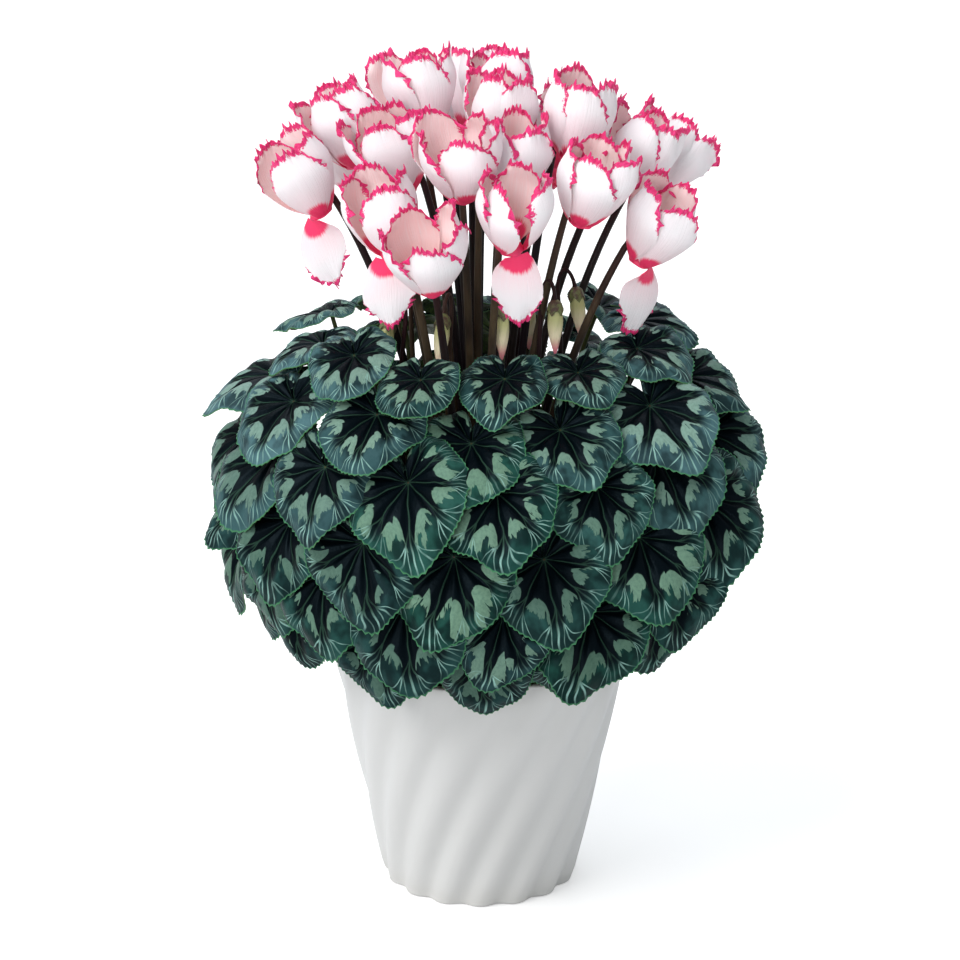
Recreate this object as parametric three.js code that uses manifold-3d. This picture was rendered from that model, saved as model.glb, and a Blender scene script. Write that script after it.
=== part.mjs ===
// A potted florist's cyclamen: a white pot with spiral flutes, potting soil, the tuber, a dome of
// heart-shaped leaves in six tiers, and a crown of fringed flowers and nodding buds on tall stems. Each leaf,
// flower and bud is drawn at random about its place, and drawn again where it would cross another.
// Millimetres, +Z up, the front of the plant facing -Y, the origin at the middle of the pot's underside.
import * as THREE from "three";
import { mergeVertices } from "three/addons/utils/BufferGeometryUtils.js";
import Module from "manifold-3d";

const wasm = await Module();
wasm.setup();

// The pot.
const POT_HEIGHT = 135;
const POT_BASE_RADIUS = 52.5;
const POT_RIM_RADIUS = 80;
const POT_WALL = 3.2;
const POT_FLOOR = 5;
const POT_INSIDE_CORNERS = 24;
const FLUTES = 16;
const FLUTE_DEPTH = 2;
const FLUTE_TURN = 52; // degrees that a flute goes round the pot from base to rim
const CORNERS_PER_FLUTE = 4;
const FLUTE_LEVELS = 4;
const DRAIN_HOLES = 5;
const DRAIN_RADIUS = 4.5;
const DRAIN_RING = 28;
const DRAIN_CORNERS = 8;

// What fills the pot.
const SOIL_TOP = 121;
const SOIL_CROWN = 4; // how much higher the soil is in the middle
const TUBER_RADIUS = 23;
const TUBER_TOP = 128;
const TUBER_DEPTH = 34;
const TUBER_CORNERS = 14;
const CLEARANCE = 0.3; // between pieces that rest on or stand in each other

const SLIVER = 0.05; // detail smaller than this is left out where solids are joined

const SEED = 59; // picks one set of random draws
const NEXT_DRAW = 200; // from one draw of an item to its next
const MOST_DRAWS = 150; // of one item, before the layout counts as too crowded
const LEAST_CROSSING = 0.002; // cubic millimetres that two pieces must share to count as crossing

// Leaves. A tier's stalks meet their blades on one ring, and each ring follows from the one above. The tuck
// is the angle by which a tier lies inside the one above it, so that the tiers overlap like shingles.
const TOP_RING_RADIUS = 80;
const TOP_RING_HEIGHT = 300;
const TIERS = [
  { leaves: 12, length: 49, droop: 22, tuck: 30, step: 29, rootRadius: 28, turn: 8 },
  { leaves: 12, length: 57, droop: 31, tuck: 32, step: 28, rootRadius: 35, turn: -4 },
  { leaves: 15, length: 60, droop: 46, tuck: 32, step: 30, rootRadius: 42, turn: 12 },
  { leaves: 15, length: 61, droop: 62, tuck: 32, step: 29, rootRadius: 49, turn: 0 },
  { leaves: 15, length: 60, droop: 78, tuck: 32, step: 26, rootRadius: 56, turn: 12 },
  { leaves: 12, length: 59, droop: 92, tuck: 0, step: 0, rootRadius: 62, turn: 0 },
];
const LEAVES_PER_SPRAY = 3;
const LEAF_THICKNESS = 0.8;
const LEAF_FUNNEL = 0.1; // height of the funnel round the stalk, as a share of the leaf's length
const LEAF_WAVE = 0.03;
const LEAF_ROLL = 9; // degrees about the midrib, so that each leaf's left edge lies under its neighbour
const LEAF_ROLL_CHANGE = 4;
const LEAF_SWING = 18; // degrees that a tip may point aside
const LEAF_NOD = 8; // degrees that a tip may hang more or less
const LEAF_SHIFT = 4; // millimetres that a joint may be off its ring, out and up
const LEAF_SIZE_CHANGE = 0.12;
const LEAF_TURN = 30; // degrees that the leaves at the plant's sides turn round to the light in front
const DOME_WAVE = 3; // millimetres by which the dome rises and sinks round its sides
const DOME_WIDTH = 0.04; // how much wider the dome is from side to side than its mean, as a share
const DOME_SPREAD = 3; // degrees by which the leaves at the sides droop less, and those in front more
const DOME_LIFT = 3; // millimetres by which the leaves at the sides are higher
const MARGIN_POINTS = 12;
const STALK_RADIUS = 1.5;
const STALK_SIDES = 3;
const STALK_SPACING = 2.2;
const STALK_STEPS = 2;
const SPRAY_BASE_RADIUS = 4.6;
const SPRAY_BASE_HEIGHT = 8;
const SPRAY_BASE_CORNERS = 4;
const SPRAY_ROOT_DEPTH = 16;
const STALK_REACH = [50, 55, 60, 68, 70, 60]; // how far behind its leaf a stalk bends, tier by tier

// Flowers.
const BLOOMS = 22;
const BLOOM_RING = 90;
const BLOOM_HEIGHT = 397; // of the middle flower's nose
const BLOOM_DOME = 39; // how much lower the outermost noses are
const BLOOM_TILT = 7; // how much higher the noses are at the back
const BLOOM_STAGGER = 7; // how much every other flower is raised or lowered
const BLOOM_LEAN = 29; // degrees that the outermost flowers lean out
const BLOOM_SHIFT = 5; // millimetres and degrees that a flower may be off its place, out, up and round
const BLOOM_NOD = 5; // degrees that a flower may lean more or less
const BLOOM_SWING = 24; // degrees that a flower may face aside
const GOLDEN_ANGLE = 137.508;
const BLOOM_TURN = 20;
const PETALS = 5;
const OUTERMOST_PETAL = 2; // the one that faces away from the middle of the plant
const PETAL_LENGTH = 41;
const PETAL_GAP = 88; // degrees between the two petals that the stem passes between
const PETAL_THICKNESS = 0.8;
const PETAL_SHINGLE = 2.2; // how far one edge of a petal stands outside its neighbour
const NOSE_RADIUS = 5.4;
const NOSE_DEPTH = 6;
const DROOPING = [12, 15, 17, 18]; // flowers whose outermost petal hangs down
const STEM_RADIUS = 2.1;
const STEM_SIDES = 3;
const STEM_STEPS = 3;
const HOOK_STEPS = 4;
const HOOK_SHARE = 0.68; // a hook's thickness as a share of its stem's
const STEM_STRAIGHT = 85;
const STEM_SPREAD = 0.18; // a stem's distance from the middle at its root, as a share of its flower's
const TRUNK_RADIUS = 20;
const TRUNK_HEIGHT = 12;
const TRUNK_CORNERS = 10;

// Buds.
const BUDS = 7;
const BUD_RING = 47;
const BUD_HEIGHT = 318;
const BUD_LENGTH = 24;
const BUD_RADIUS = 4;
const BUD_CORNERS = 6;
const BUD_SPACING = 42; // degrees from bud to bud round the plant
const BUD_TURN = -78; // where the middle bud stands
const BUD_LEAN = -6;
const BUD_SHIFT = 12; // degrees and millimetres that a bud may be off its place, round the plant and up

const radians = THREE.MathUtils.degToRad;

// A number from 0 to 1 that is fixed for each item and trait, and looks like a random draw.
function chance(item, trait) {
  const wave = Math.sin(item * 12.9898 + trait * 78.233 + SEED) * 43758.5453;
  return wave - Math.floor(wave);
}

function vary(item, trait, span) {
  return (2 * chance(item, trait) - 1) * span;
}

// The parts that hold a place so far: each is a solid, its box, and the group that it may grow together with.
const placed = [];

function holdPlace(solid, group) {
  placed.push({ solid, group, box: solid.boundingBox() });
}

function boxesMeet(a, b) {
  return [0, 1, 2].every((k) => a.min[k] < b.max[k] && b.min[k] < a.max[k]);
}

// Whether a part crosses any part of another group.
function crosses({ solid, group }) {
  const box = solid.boundingBox();
  const others = placed.filter((other) => other.group !== group && boxesMeet(box, other.box));
  return others.some((other) => solid.intersect(other.solid).volume() > LEAST_CROSSING);
}

// Draws an item again and again until its parts cross nothing that holds a place already.
function drawn(item, make) {
  for (let i = 0; i < MOST_DRAWS; i++) {
    const made = make(item + i * NEXT_DRAW);
    if (!made.parts.some(crosses)) {
      for (const { solid, group } of made.parts) holdPlace(solid, group);
      return made;
    }
  }
  throw new Error(`No draw of item ${item} is clear of its neighbours`);
}

// The point at a distance from the plant's axis, a turn about it in degrees, and a height.
function around(radius, turn, height) {
  return new THREE.Vector3(radius * Math.cos(radians(turn)), radius * Math.sin(radians(turn)), height);
}

// Solids and meshes.
function solidOf(geometry) {
  const bare = geometry.clone();
  bare.deleteAttribute("normal");
  bare.deleteAttribute("uv");
  const merged = mergeVertices(bare, 1e-3);
  const solid = new wasm.Manifold(
    new wasm.Mesh({
      numProp: 3,
      vertProperties: new Float32Array(merged.attributes.position.array),
      triVerts: new Uint32Array(merged.index.array),
    }),
  );
  return solid;
}

function geometryOf(solid) {
  const mesh = solid.getMesh();
  const geometry = new THREE.BufferGeometry();
  geometry.setAttribute("position", new THREE.BufferAttribute(new Float32Array(mesh.vertProperties), 3));
  geometry.setIndex(new THREE.BufferAttribute(new Uint32Array(mesh.triVerts), 1));
  geometry.computeVertexNormals();
  return geometry;
}

// One solid of several, without the slivers that the joins leave.
function joined(solids) {
  return solids.reduce((all, solid) => all.add(solid)).simplify(SLIVER);
}

// A thin closed solid on both sides of a surface of triangles. Its faces are split alike on both sides.
function sheet(points, triangles, thickness) {
  const normals = points.map(() => new THREE.Vector3());
  const flat = new THREE.Vector3();
  for (const [a, b, c] of triangles) {
    THREE.Triangle.getNormal(points[a], points[b], points[c], flat);
    for (const corner of [a, b, c]) normals[corner].add(flat);
  }
  const sides = [1, -1].map((side) =>
    points.map((point, i) => point.clone().addScaledVector(normals[i].normalize(), (side * thickness) / 2)),
  );
  const count = points.length;
  const faces = triangles.flatMap(([a, b, c]) => [a, b, c, a + count, c + count, b + count]);
  const edges = triangles.flatMap(([a, b, c]) => [[a, b], [b, c], [c, a]]);
  const known = new Set(edges.map(([a, b]) => `${a} ${b}`));
  for (const [a, b] of edges) {
    if (!known.has(`${b} ${a}`)) faces.push(b, a, a + count, b, a + count, b + count);
  }
  return new THREE.BufferGeometry().setFromPoints(sides.flat()).setIndex(faces);
}

// A tube along a curve, with few flat sides.
function tube(curve, radius, sides, steps) {
  const corners = [];
  for (let i = 0; i < sides; i++) {
    const angle = ((i + 0.5) / sides) * 2 * Math.PI;
    corners.push(new THREE.Vector2(radius * Math.cos(angle), radius * Math.sin(angle)));
  }
  return new THREE.ExtrudeGeometry(new THREE.Shape(corners), { steps, extrudePath: curve });
}

function uprightCylinder(radius, low, high, sides) {
  const geometry = new THREE.CylinderGeometry(radius, radius, high - low, sides);
  return geometry.rotateX(Math.PI / 2).translate(0, 0, (low + high) / 2);
}

// The pot's radius before the flutes are cut in.
function potRadius(height) {
  return POT_BASE_RADIUS + (height / POT_HEIGHT) * (POT_RIM_RADIUS - POT_BASE_RADIUS);
}

function potInside(height) {
  return potRadius(height) - FLUTE_DEPTH - POT_WALL;
}

// The pot: its outside is turned, and the columns of points on it go round along the spiral flutes. The
// hollow and the drain holes are cut out of it.
function potSolid() {
  const profile = [new THREE.Vector2(0, 0)];
  for (let i = 0; i <= FLUTE_LEVELS; i++) {
    const height = (i / FLUTE_LEVELS) * POT_HEIGHT;
    profile.push(new THREE.Vector2(potRadius(height), height));
  }
  profile.push(new THREE.Vector2(0, POT_HEIGHT));
  const geometry = new THREE.LatheGeometry(profile, FLUTES * CORNERS_PER_FLUTE).rotateX(Math.PI / 2);
  const position = geometry.attributes.position;
  const point = new THREE.Vector3();
  for (let i = 0; i < position.count; i++) {
    point.fromBufferAttribute(position, i);
    const turn = Math.atan2(point.y, point.x);
    const radius = Math.hypot(point.x, point.y);
    if (radius < 1) continue;
    const depth = FLUTE_DEPTH * (0.5 - 0.5 * Math.cos(FLUTES * turn));
    const climb = FLUTE_TURN * (point.z / POT_HEIGHT);
    point.copy(around(radius - depth, THREE.MathUtils.radToDeg(turn) + climb, point.z));
    position.setXYZ(i, point.x, point.y, point.z);
  }
  const hollow = new THREE.LatheGeometry(
    [
      new THREE.Vector2(0, POT_FLOOR),
      new THREE.Vector2(potInside(POT_FLOOR), POT_FLOOR),
      new THREE.Vector2(potInside(POT_HEIGHT + 1), POT_HEIGHT + 1),
      new THREE.Vector2(0, POT_HEIGHT + 1),
    ],
    POT_INSIDE_CORNERS,
  );
  let pot = solidOf(geometry).subtract(solidOf(hollow.rotateX(Math.PI / 2)));
  for (let i = 0; i < DRAIN_HOLES; i++) {
    const place = around(DRAIN_RING, (i * 360) / DRAIN_HOLES, 0);
    const hole = uprightCylinder(DRAIN_RADIUS, -1, POT_FLOOR + 1, DRAIN_CORNERS);
    pot = pot.subtract(solidOf(hole.translate(place.x, place.y, 0)));
  }
  return pot.simplify(SLIVER);
}

// The soil fills the pot nearly to the rim, and is a little higher in the middle.
function soilSolid() {
  const low = POT_FLOOR + CLEARANCE;
  const profile = [
    new THREE.Vector2(0, low),
    new THREE.Vector2(potInside(low) - CLEARANCE, low),
    new THREE.Vector2(potInside(SOIL_TOP) - CLEARANCE, SOIL_TOP),
    new THREE.Vector2(TUBER_RADIUS * 1.7, SOIL_TOP + SOIL_CROWN * 0.7),
    new THREE.Vector2(0, SOIL_TOP + SOIL_CROWN),
  ];
  return solidOf(new THREE.LatheGeometry(profile, POT_INSIDE_CORNERS).rotateX(Math.PI / 2));
}

// The tuber is a flattened ball, half buried, with its crown level.
function tuberSolid(extra) {
  const profile = [
    new THREE.Vector2(0, TUBER_TOP - TUBER_DEPTH - extra),
    new THREE.Vector2(TUBER_RADIUS * 0.6 + extra, TUBER_TOP - TUBER_DEPTH * 0.92 - extra),
    new THREE.Vector2(TUBER_RADIUS + extra, TUBER_TOP - TUBER_DEPTH * 0.45),
    new THREE.Vector2(TUBER_RADIUS * 0.85 + extra, TUBER_TOP - 3 + extra),
    new THREE.Vector2(TUBER_RADIUS * 0.6, TUBER_TOP + extra),
    new THREE.Vector2(0, TUBER_TOP + extra),
  ];
  return solidOf(new THREE.LatheGeometry(profile, TUBER_CORNERS).rotateX(Math.PI / 2));
}

// The ring on which the stalks of each tier meet their blades.
function tierRings() {
  let [radius, height] = [TOP_RING_RADIUS, TOP_RING_HEIGHT];
  return TIERS.map((tier) => {
    const ring = { radius, height };
    radius += tier.step * Math.cos(radians(tier.droop + tier.tuck));
    height -= tier.step * Math.sin(radians(tier.droop + tier.tuck));
    return ring;
  });
}

// Where one leaf is: its joint with the stalk, its size, and a matrix whose x goes across it, y to its tip
// and z out of its upper face.
function leafPlace(tier, ring, index, lot) {
  const turn = tier.turn + (index * 360) / tier.leaves + vary(lot, 1, 2);
  const side = Math.cos(radians(2 * turn)); // 1 at the plant's sides, -1 at its front and back
  const rise = DOME_LIFT * side + DOME_WAVE * Math.sin(radians(3 * turn + 100));
  const droop = radians(tier.droop - DOME_SPREAD * side + vary(lot, 2, LEAF_NOD));
  const distance = ring.radius * (1 + DOME_WIDTH * side) + vary(lot, 3, LEAF_SHIFT);
  const joint = around(distance, turn, ring.height + rise + vary(lot, 4, LEAF_SHIFT));
  const out = around(1, turn, 0);
  const up = new THREE.Vector3(0, 0, 1);
  const tip = out.clone().multiplyScalar(Math.cos(droop)).addScaledVector(up, -Math.sin(droop));
  const face = out.clone().multiplyScalar(Math.sin(droop)).addScaledVector(up, Math.cos(droop));
  const across = tip.clone().cross(face);
  const basis = new THREE.Matrix4().makeRotationZ(radians(-LEAF_TURN * Math.cos(radians(turn))));
  basis.multiply(new THREE.Matrix4().makeBasis(across, tip, face));
  basis.multiply(new THREE.Matrix4().makeRotationZ(radians(vary(lot, 5, LEAF_SWING))));
  basis.multiply(new THREE.Matrix4().makeRotationY(radians(LEAF_ROLL + vary(lot, 6, LEAF_ROLL_CHANGE))));
  basis.setPosition(joint);
  return { turn, joint, basis, length: tier.length * (1 + vary(lot, 7, LEAF_SIZE_CHANGE)), lot };
}

// The distance from the stalk's joint to the leaf's margin, as a share of the leaf's length, by the angle
// off the tip: two lobes with a notch between them behind the joint, and a short point in front.
function marginRadius(angle) {
  const behind = (Math.PI - Math.abs(angle)) / 0.3;
  const point = 0.1 * Math.exp(-((angle / 0.28) ** 2));
  const notch = 0.3 * Math.exp(-(behind ** 2));
  return 0.5 + 0.12 * Math.cos(angle) + point - notch;
}

// A point of the blade: share is 0 at the joint and 1 at the margin. The blade is a shallow funnel whose
// margin rolls back, with a few slow waves.
function bladePoint(share, angle, leaf) {
  const radius = share * marginRadius(angle) * leaf.length;
  const wave = LEAF_WAVE * share * share * Math.cos(4 * angle + 6.28 * chance(leaf.lot, 8));
  const bend = 0.06 * (share * Math.max(0, Math.cos(angle))) ** 2;
  const height = leaf.length * (LEAF_FUNNEL * Math.sin(2.3 * share) + wave - bend);
  return new THREE.Vector3(0.95 * radius * Math.sin(angle), radius * Math.cos(angle), height);
}

function bladeSolid(leaf) {
  const inner = MARGIN_POINTS / 2;
  const points = [bladePoint(0, 0, leaf)];
  for (let i = 0; i < inner; i++) points.push(bladePoint(0.55, wrapped((i / inner) * 2 * Math.PI), leaf));
  for (let i = 0; i < MARGIN_POINTS; i++) {
    const scallop = i % 2 ? 0.98 : 1.03;
    const point = bladePoint(1, wrapped((i / MARGIN_POINTS) * 2 * Math.PI), leaf);
    points.push(point.setX(point.x * scallop).setY(point.y * scallop));
  }
  const triangles = [];
  for (let i = 0; i < inner; i++) {
    const [a, b] = [1 + i, 1 + ((i + 1) % inner)];
    const [p, q, r] = [0, 1, 2].map((k) => 1 + inner + ((2 * i + k) % MARGIN_POINTS));
    triangles.push([0, b, a], [a, q, p], [a, b, q], [b, r, q]);
  }
  return solidOf(sheet(points, triangles, LEAF_THICKNESS).applyMatrix4(leaf.basis));
}

function wrapped(angle) {
  return angle > Math.PI ? angle - 2 * Math.PI : angle;
}

// The foot that a spray's stalks come from. It stands in a hole in the soil.
function sprayFoot(root) {
  const base = around(root.radius, root.turn, 0);
  const [low, high] = [SOIL_TOP - SPRAY_ROOT_DEPTH, SOIL_TOP + SPRAY_BASE_HEIGHT];
  const foot = uprightCylinder(SPRAY_BASE_RADIUS, low, high, SPRAY_BASE_CORNERS);
  return solidOf(foot.translate(base.x, base.y, 0));
}

// A leaf's stalk, from its place in the row on the spray's foot to the joint.
function stalkSolid(root, order, level, leaf) {
  const start = around(root.radius, root.turn, SOIL_TOP + SPRAY_BASE_HEIGHT - 1);
  start.addScaledVector(around(1, root.turn + 90, 0), (order - (LEAVES_PER_SPRAY - 1) / 2) * STALK_SPACING);
  const bend = new THREE.Vector3(0, 0, -STALK_REACH[level]).applyMatrix4(leaf.basis);
  const end = new THREE.Vector3(0, 0, 0.1).applyMatrix4(leaf.basis);
  const curve = new THREE.QuadraticBezierCurve3(start, bend, end);
  return solidOf(tube(curve, STALK_RADIUS, STALK_SIDES, STALK_STEPS));
}

// A flower's place: its nose, and a matrix whose x points out from the plant and z up along the petals.
function bloomPlace(index, lot) {
  const distance = BLOOM_RING * Math.sqrt((index + 0.5) / BLOOMS) + vary(lot, 26, BLOOM_SHIFT);
  const turn = BLOOM_TURN + index * GOLDEN_ANGLE + vary(lot, 27, BLOOM_SHIFT);
  const share = distance / BLOOM_RING;
  const nose = around(distance, turn, 0);
  nose.z = BLOOM_HEIGHT - BLOOM_DOME * share * share + BLOOM_TILT * (nose.y / BLOOM_RING);
  nose.z += (index % 2 ? BLOOM_STAGGER : -BLOOM_STAGGER) + vary(lot, 21, BLOOM_SHIFT);
  const basis = new THREE.Matrix4().makeRotationZ(radians(turn));
  basis.multiply(new THREE.Matrix4().makeRotationY(radians(BLOOM_LEAN * share + vary(lot, 24, BLOOM_NOD))));
  basis.multiply(new THREE.Matrix4().makeRotationZ(radians(vary(lot, 25, BLOOM_SWING))));
  basis.setPosition(nose);
  return { index, lot, distance, turn, basis };
}

// A petal's rows from its root to its fringe: distance from the flower's axis, height as a share of the
// petal's length, half width, and how many points lie across it.
const STANDING_PETAL = [
  { out: 13.5, high: 0.38, half: 8, count: 3 },
  { out: 19.6, high: 1, half: 15, count: 5 },
];
const HANGING_PETAL = [
  { out: 10.5, high: -0.28, half: 8.5, count: 3 },
  { out: 13.5, high: -0.8, half: 9.5, count: 5 },
];

// The points across one row of a petal, curved round the flower's axis. The last row is the toothed fringe.
function petalRow(row, turn, length, spread) {
  const points = [];
  for (let i = 0; i < row.count; i++) {
    const across = (2 * i) / (row.count - 1) - 1;
    const round = row.count > 3 ? 1 - 0.14 * across * across - (i % 2 ? 0.07 : 0) : 1;
    const wrap = turn + (row.half * across) / Math.max(row.out, 12);
    const out = row.out * spread + PETAL_SHINGLE * across * Math.abs(row.high);
    points.push(new THREE.Vector3(out * Math.cos(wrap), out * Math.sin(wrap), row.high * length * round));
  }
  return points;
}

// A flower: a ring of petals turned up from the rim of its nose, all one sheet. The stem passes in at -X.
function bloomSolid(bloom) {
  const points = [new THREE.Vector3(0, 0, NOSE_DEPTH)];
  const triangles = [];
  const spacing = (360 - PETAL_GAP) / (PETALS - 1);
  const turns = Array.from({ length: PETALS }, (_, i) => radians(180 + PETAL_GAP / 2 + i * spacing));
  const rim = turns.flatMap((turn) => [turn - 0.33, turn + 0.33]);
  const degrees = THREE.MathUtils.radToDeg;
  for (const angle of rim) points.push(around(NOSE_RADIUS, degrees(angle), 0));
  rim.forEach((_, i) => triangles.push([0, 1 + ((i + 1) % rim.length), 1 + i]));

  // A petal grows from the edge between two neighbouring points of the rim.
  function addPetal(first, rows, item) {
    const turn = (rim[first] + rim[first + 1]) / 2;
    const length = PETAL_LENGTH * (1 + vary(item, 22, 0.05));
    const spread = 1 + vary(item, 23, 0.01);
    const [a, b, c] = [1 + first, 2 + first, points.length];
    const d = c + 3;
    points.push(...rows.flatMap((row) => petalRow(row, turn, length, spread)));
    triangles.push([a, b, c + 1], [a, c + 1, c], [b, c + 2, c + 1]);
    triangles.push([c, d + 1, d], [c, c + 1, d + 1], [c + 1, d + 2, d + 1]);
    triangles.push([c + 1, d + 3, d + 2], [c + 1, c + 2, d + 3], [c + 2, d + 4, d + 3]);
  }

  const hanging = DROOPING.includes(bloom.index) ? OUTERMOST_PETAL : -1;
  for (let i = 0; i < PETALS; i++) {
    addPetal(2 * i, i === hanging ? HANGING_PETAL : STANDING_PETAL, bloom.lot * PETALS + i);
  }
  return solidOf(sheet(points, triangles, PETAL_THICKNESS).applyMatrix4(bloom.basis));
}

// A stem: up from the trunk to a foot beside its flower or bud, over in a hook, and down into the calyx. The
// hook's points are in the flower's frame, and its last one is where the calyx begins.
function hookedStem(item, root, lean, hook, radius) {
  const local = ([x, z]) => new THREE.Vector3(x, 0, z).applyMatrix4(item.basis);
  const [x, z] = hook[0];
  const rise = new THREE.QuadraticBezierCurve3(root, local([x - lean, z - STEM_STRAIGHT]), local([x, z]));
  const bend = new THREE.CubicBezierCurve3(local([x, z - 3]), ...hook.slice(1).map(local));
  return [
    solidOf(tube(rise, radius, STEM_SIDES, STEM_STEPS)),
    solidOf(tube(bend, radius * HOOK_SHARE, STEM_SIDES, HOOK_STEPS)),
  ];
}

// The green cup on a stem's end, over the flower or bud. It reaches down to low in the flower's frame.
function calyx(item, topRadius, lowRadius, low, height) {
  const cup = new THREE.CylinderGeometry(topRadius, lowRadius, height, STEM_SIDES + 2).rotateX(Math.PI / 2);
  return solidOf(cup.translate(0, 0, low + height / 2).applyMatrix4(item.basis));
}

function bloomStem(bloom) {
  const root = around(STEM_SPREAD * bloom.distance, bloom.turn, TUBER_TOP + TRUNK_HEIGHT - 1);
  const seat = NOSE_DEPTH + PETAL_THICKNESS + CLEARANCE;
  const hook = [[-10, -5], [-11.5, 22], [0, 20], [0, seat + 2]];
  return [...hookedStem(bloom, root, 0, hook, STEM_RADIUS), calyx(bloom, 3.2, 4.2, seat, 3)];
}

// Where a bud hangs: the end of its stem, and a matrix whose z points up its axis.
function budPlace(index, lot) {
  const turn = BUD_TURN + (index - (BUDS - 1) / 2) * BUD_SPACING + vary(lot, 31, BUD_SHIFT);
  const place = around(BUD_RING + vary(lot, 32, BUD_SHIFT / 2), turn, BUD_HEIGHT + vary(lot, 33, BUD_SHIFT));
  const basis = new THREE.Matrix4().makeRotationZ(radians(turn));
  basis.multiply(new THREE.Matrix4().makeRotationY(radians(BUD_LEAN + vary(lot, 34, 6))));
  basis.setPosition(place);
  return { turn, basis };
}

function budSolid(bud) {
  const profile = [
    new THREE.Vector2(0, -BUD_LENGTH),
    new THREE.Vector2(BUD_RADIUS * 0.5, -BUD_LENGTH),
    new THREE.Vector2(BUD_RADIUS * 0.8, -BUD_LENGTH * 0.5),
    new THREE.Vector2(BUD_RADIUS, -BUD_LENGTH * 0.15),
    new THREE.Vector2(BUD_RADIUS * 0.9, -CLEARANCE),
    new THREE.Vector2(0, -CLEARANCE),
  ];
  return solidOf(new THREE.LatheGeometry(profile, BUD_CORNERS).rotateX(Math.PI / 2).applyMatrix4(bud.basis));
}

function budStem(bud) {
  const root = around(TRUNK_RADIUS - 2, bud.turn, TUBER_TOP + TRUNK_HEIGHT - 1);
  const hook = [[-9.5, -4], [-10, 19], [-0.5, 19], [0, 3]];
  return [...hookedStem(bud, root, 5, hook, STEM_RADIUS * HOOK_SHARE), calyx(bud, 2.6, 4.2, 0, 5)];
}

// Materials.
const finishes = {
  pot: new THREE.MeshStandardMaterial({ color: 0xf1f1ee, roughness: 0.32 }),
  soil: new THREE.MeshStandardMaterial({ color: 0x2e2219, roughness: 1 }),
  tuber: new THREE.MeshStandardMaterial({ color: 0x5b4332, roughness: 0.95 }),
  leaf: new THREE.MeshStandardMaterial({ color: 0x1d4a3a, roughness: 0.45 }),
  petal: new THREE.MeshStandardMaterial({ color: 0xf7dfe6, roughness: 0.6 }),
  stem: new THREE.MeshStandardMaterial({ color: 0x4a2b2a, roughness: 0.5 }),
  bud: new THREE.MeshStandardMaterial({ color: 0xe9dcb4, roughness: 0.6 }),
};

const plant = new THREE.Group();
plant.name = "potted_cyclamen";

function addPiece(name, solid, finish) {
  const mesh = new THREE.Mesh(geometryOf(solid), finishes[finish]);
  mesh.name = name;
  plant.add(mesh);
}

function numbered(name, index) {
  return `${name}_${String(index + 1).padStart(2, "0")}`;
}

// The floral trunk stands on the tuber's crown and carries every flower and bud stem.
const trunkFoot = TUBER_TOP + CLEARANCE;
const trunk = solidOf(uprightCylinder(TRUNK_RADIUS, trunkFoot, TUBER_TOP + TRUNK_HEIGHT, TRUNK_CORNERS));
holdPlace(trunk, "stems");

// Flowers and buds, each with its stem.
function withStem(group, solid, stem) {
  const stemParts = stem.map((part) => ({ solid: part, group: "stems" }));
  return { solid, stem, parts: [{ solid, group }, ...stemParts] };
}

const blooms = Array.from({ length: BLOOMS }, (_, index) =>
  drawn(index, (lot) => {
    const bloom = bloomPlace(index, lot);
    return withStem(`bloom ${index}`, bloomSolid(bloom), bloomStem(bloom));
  }),
);
const buds = Array.from({ length: BUDS }, (_, index) =>
  drawn(index, (lot) => {
    const bud = budPlace(index, lot);
    return withStem(`bud ${index}`, budSolid(bud), budStem(bud));
  }),
);
const stems = joined([trunk, ...[...blooms, ...buds].flatMap((item) => item.stem)]);

// The leaves, three to a spray, with the hole that each spray stands in. The stalks of a spray may touch.
const roots = TIERS.flatMap((tier, level) =>
  Array.from({ length: tier.leaves / LEAVES_PER_SPRAY }, (_, i) => {
    const turn = tier.turn + ((i + 0.5) * LEAVES_PER_SPRAY - 0.5) * (360 / tier.leaves);
    return { level, tier, first: i * LEAVES_PER_SPRAY, radius: tier.rootRadius, turn };
  }),
);
const feet = roots.map((root, i) => {
  const solid = sprayFoot(root);
  holdPlace(solid, `spray ${i}`);
  return solid;
});
const rings = tierRings();
let leafNumber = 0;
const sprays = roots.map((root, spray) => {
  const { level, tier, first } = root;
  const leaves = Array.from({ length: LEAVES_PER_SPRAY }, (_, order) =>
    drawn(leafNumber++, (lot) => {
      const leaf = leafPlace(tier, rings[level], first + order, lot);
      const blade = { solid: bladeSolid(leaf), group: `blade ${leafNumber}` };
      const stalk = { solid: stalkSolid(root, order, level, leaf), group: `spray ${spray}` };
      return { parts: [blade, stalk] };
    }),
  );
  return joined([feet[spray], ...leaves.flatMap((leaf) => leaf.parts.map((part) => part.solid))]);
});
const holes = roots.map((root) => {
  const place = around(root.radius, root.turn, 0);
  const bottom = SOIL_TOP - SPRAY_ROOT_DEPTH - CLEARANCE;
  const hole = uprightCylinder(SPRAY_BASE_RADIUS + CLEARANCE, bottom, TUBER_TOP + 5, SPRAY_BASE_CORNERS);
  return solidOf(hole.translate(place.x, place.y, 0));
});

const allHoles = joined(holes);
addPiece("pot", potSolid(), "pot");
addPiece("soil", soilSolid().subtract(tuberSolid(CLEARANCE)).subtract(allHoles), "soil");
addPiece("tuber", tuberSolid(0).subtract(allHoles), "tuber");
addPiece("flower_stems", stems, "stem");
sprays.forEach((spray, i) => addPiece(numbered("leaf_spray", i), spray, "leaf"));
blooms.forEach((bloom, i) => addPiece(numbered("bloom", i), bloom.solid, "petal"));
buds.forEach((bud, i) => addPiece(numbered("bud", i), bud.solid, "bud"));

export default plant;
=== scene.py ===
"""Dresses the frame of a potted cyclamen: pot, peat, hooked stems, marbled leaves and fringed flowers."""
import functools
import math

import bpy
import numpy as np
from mathutils import Matrix, Vector


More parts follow.
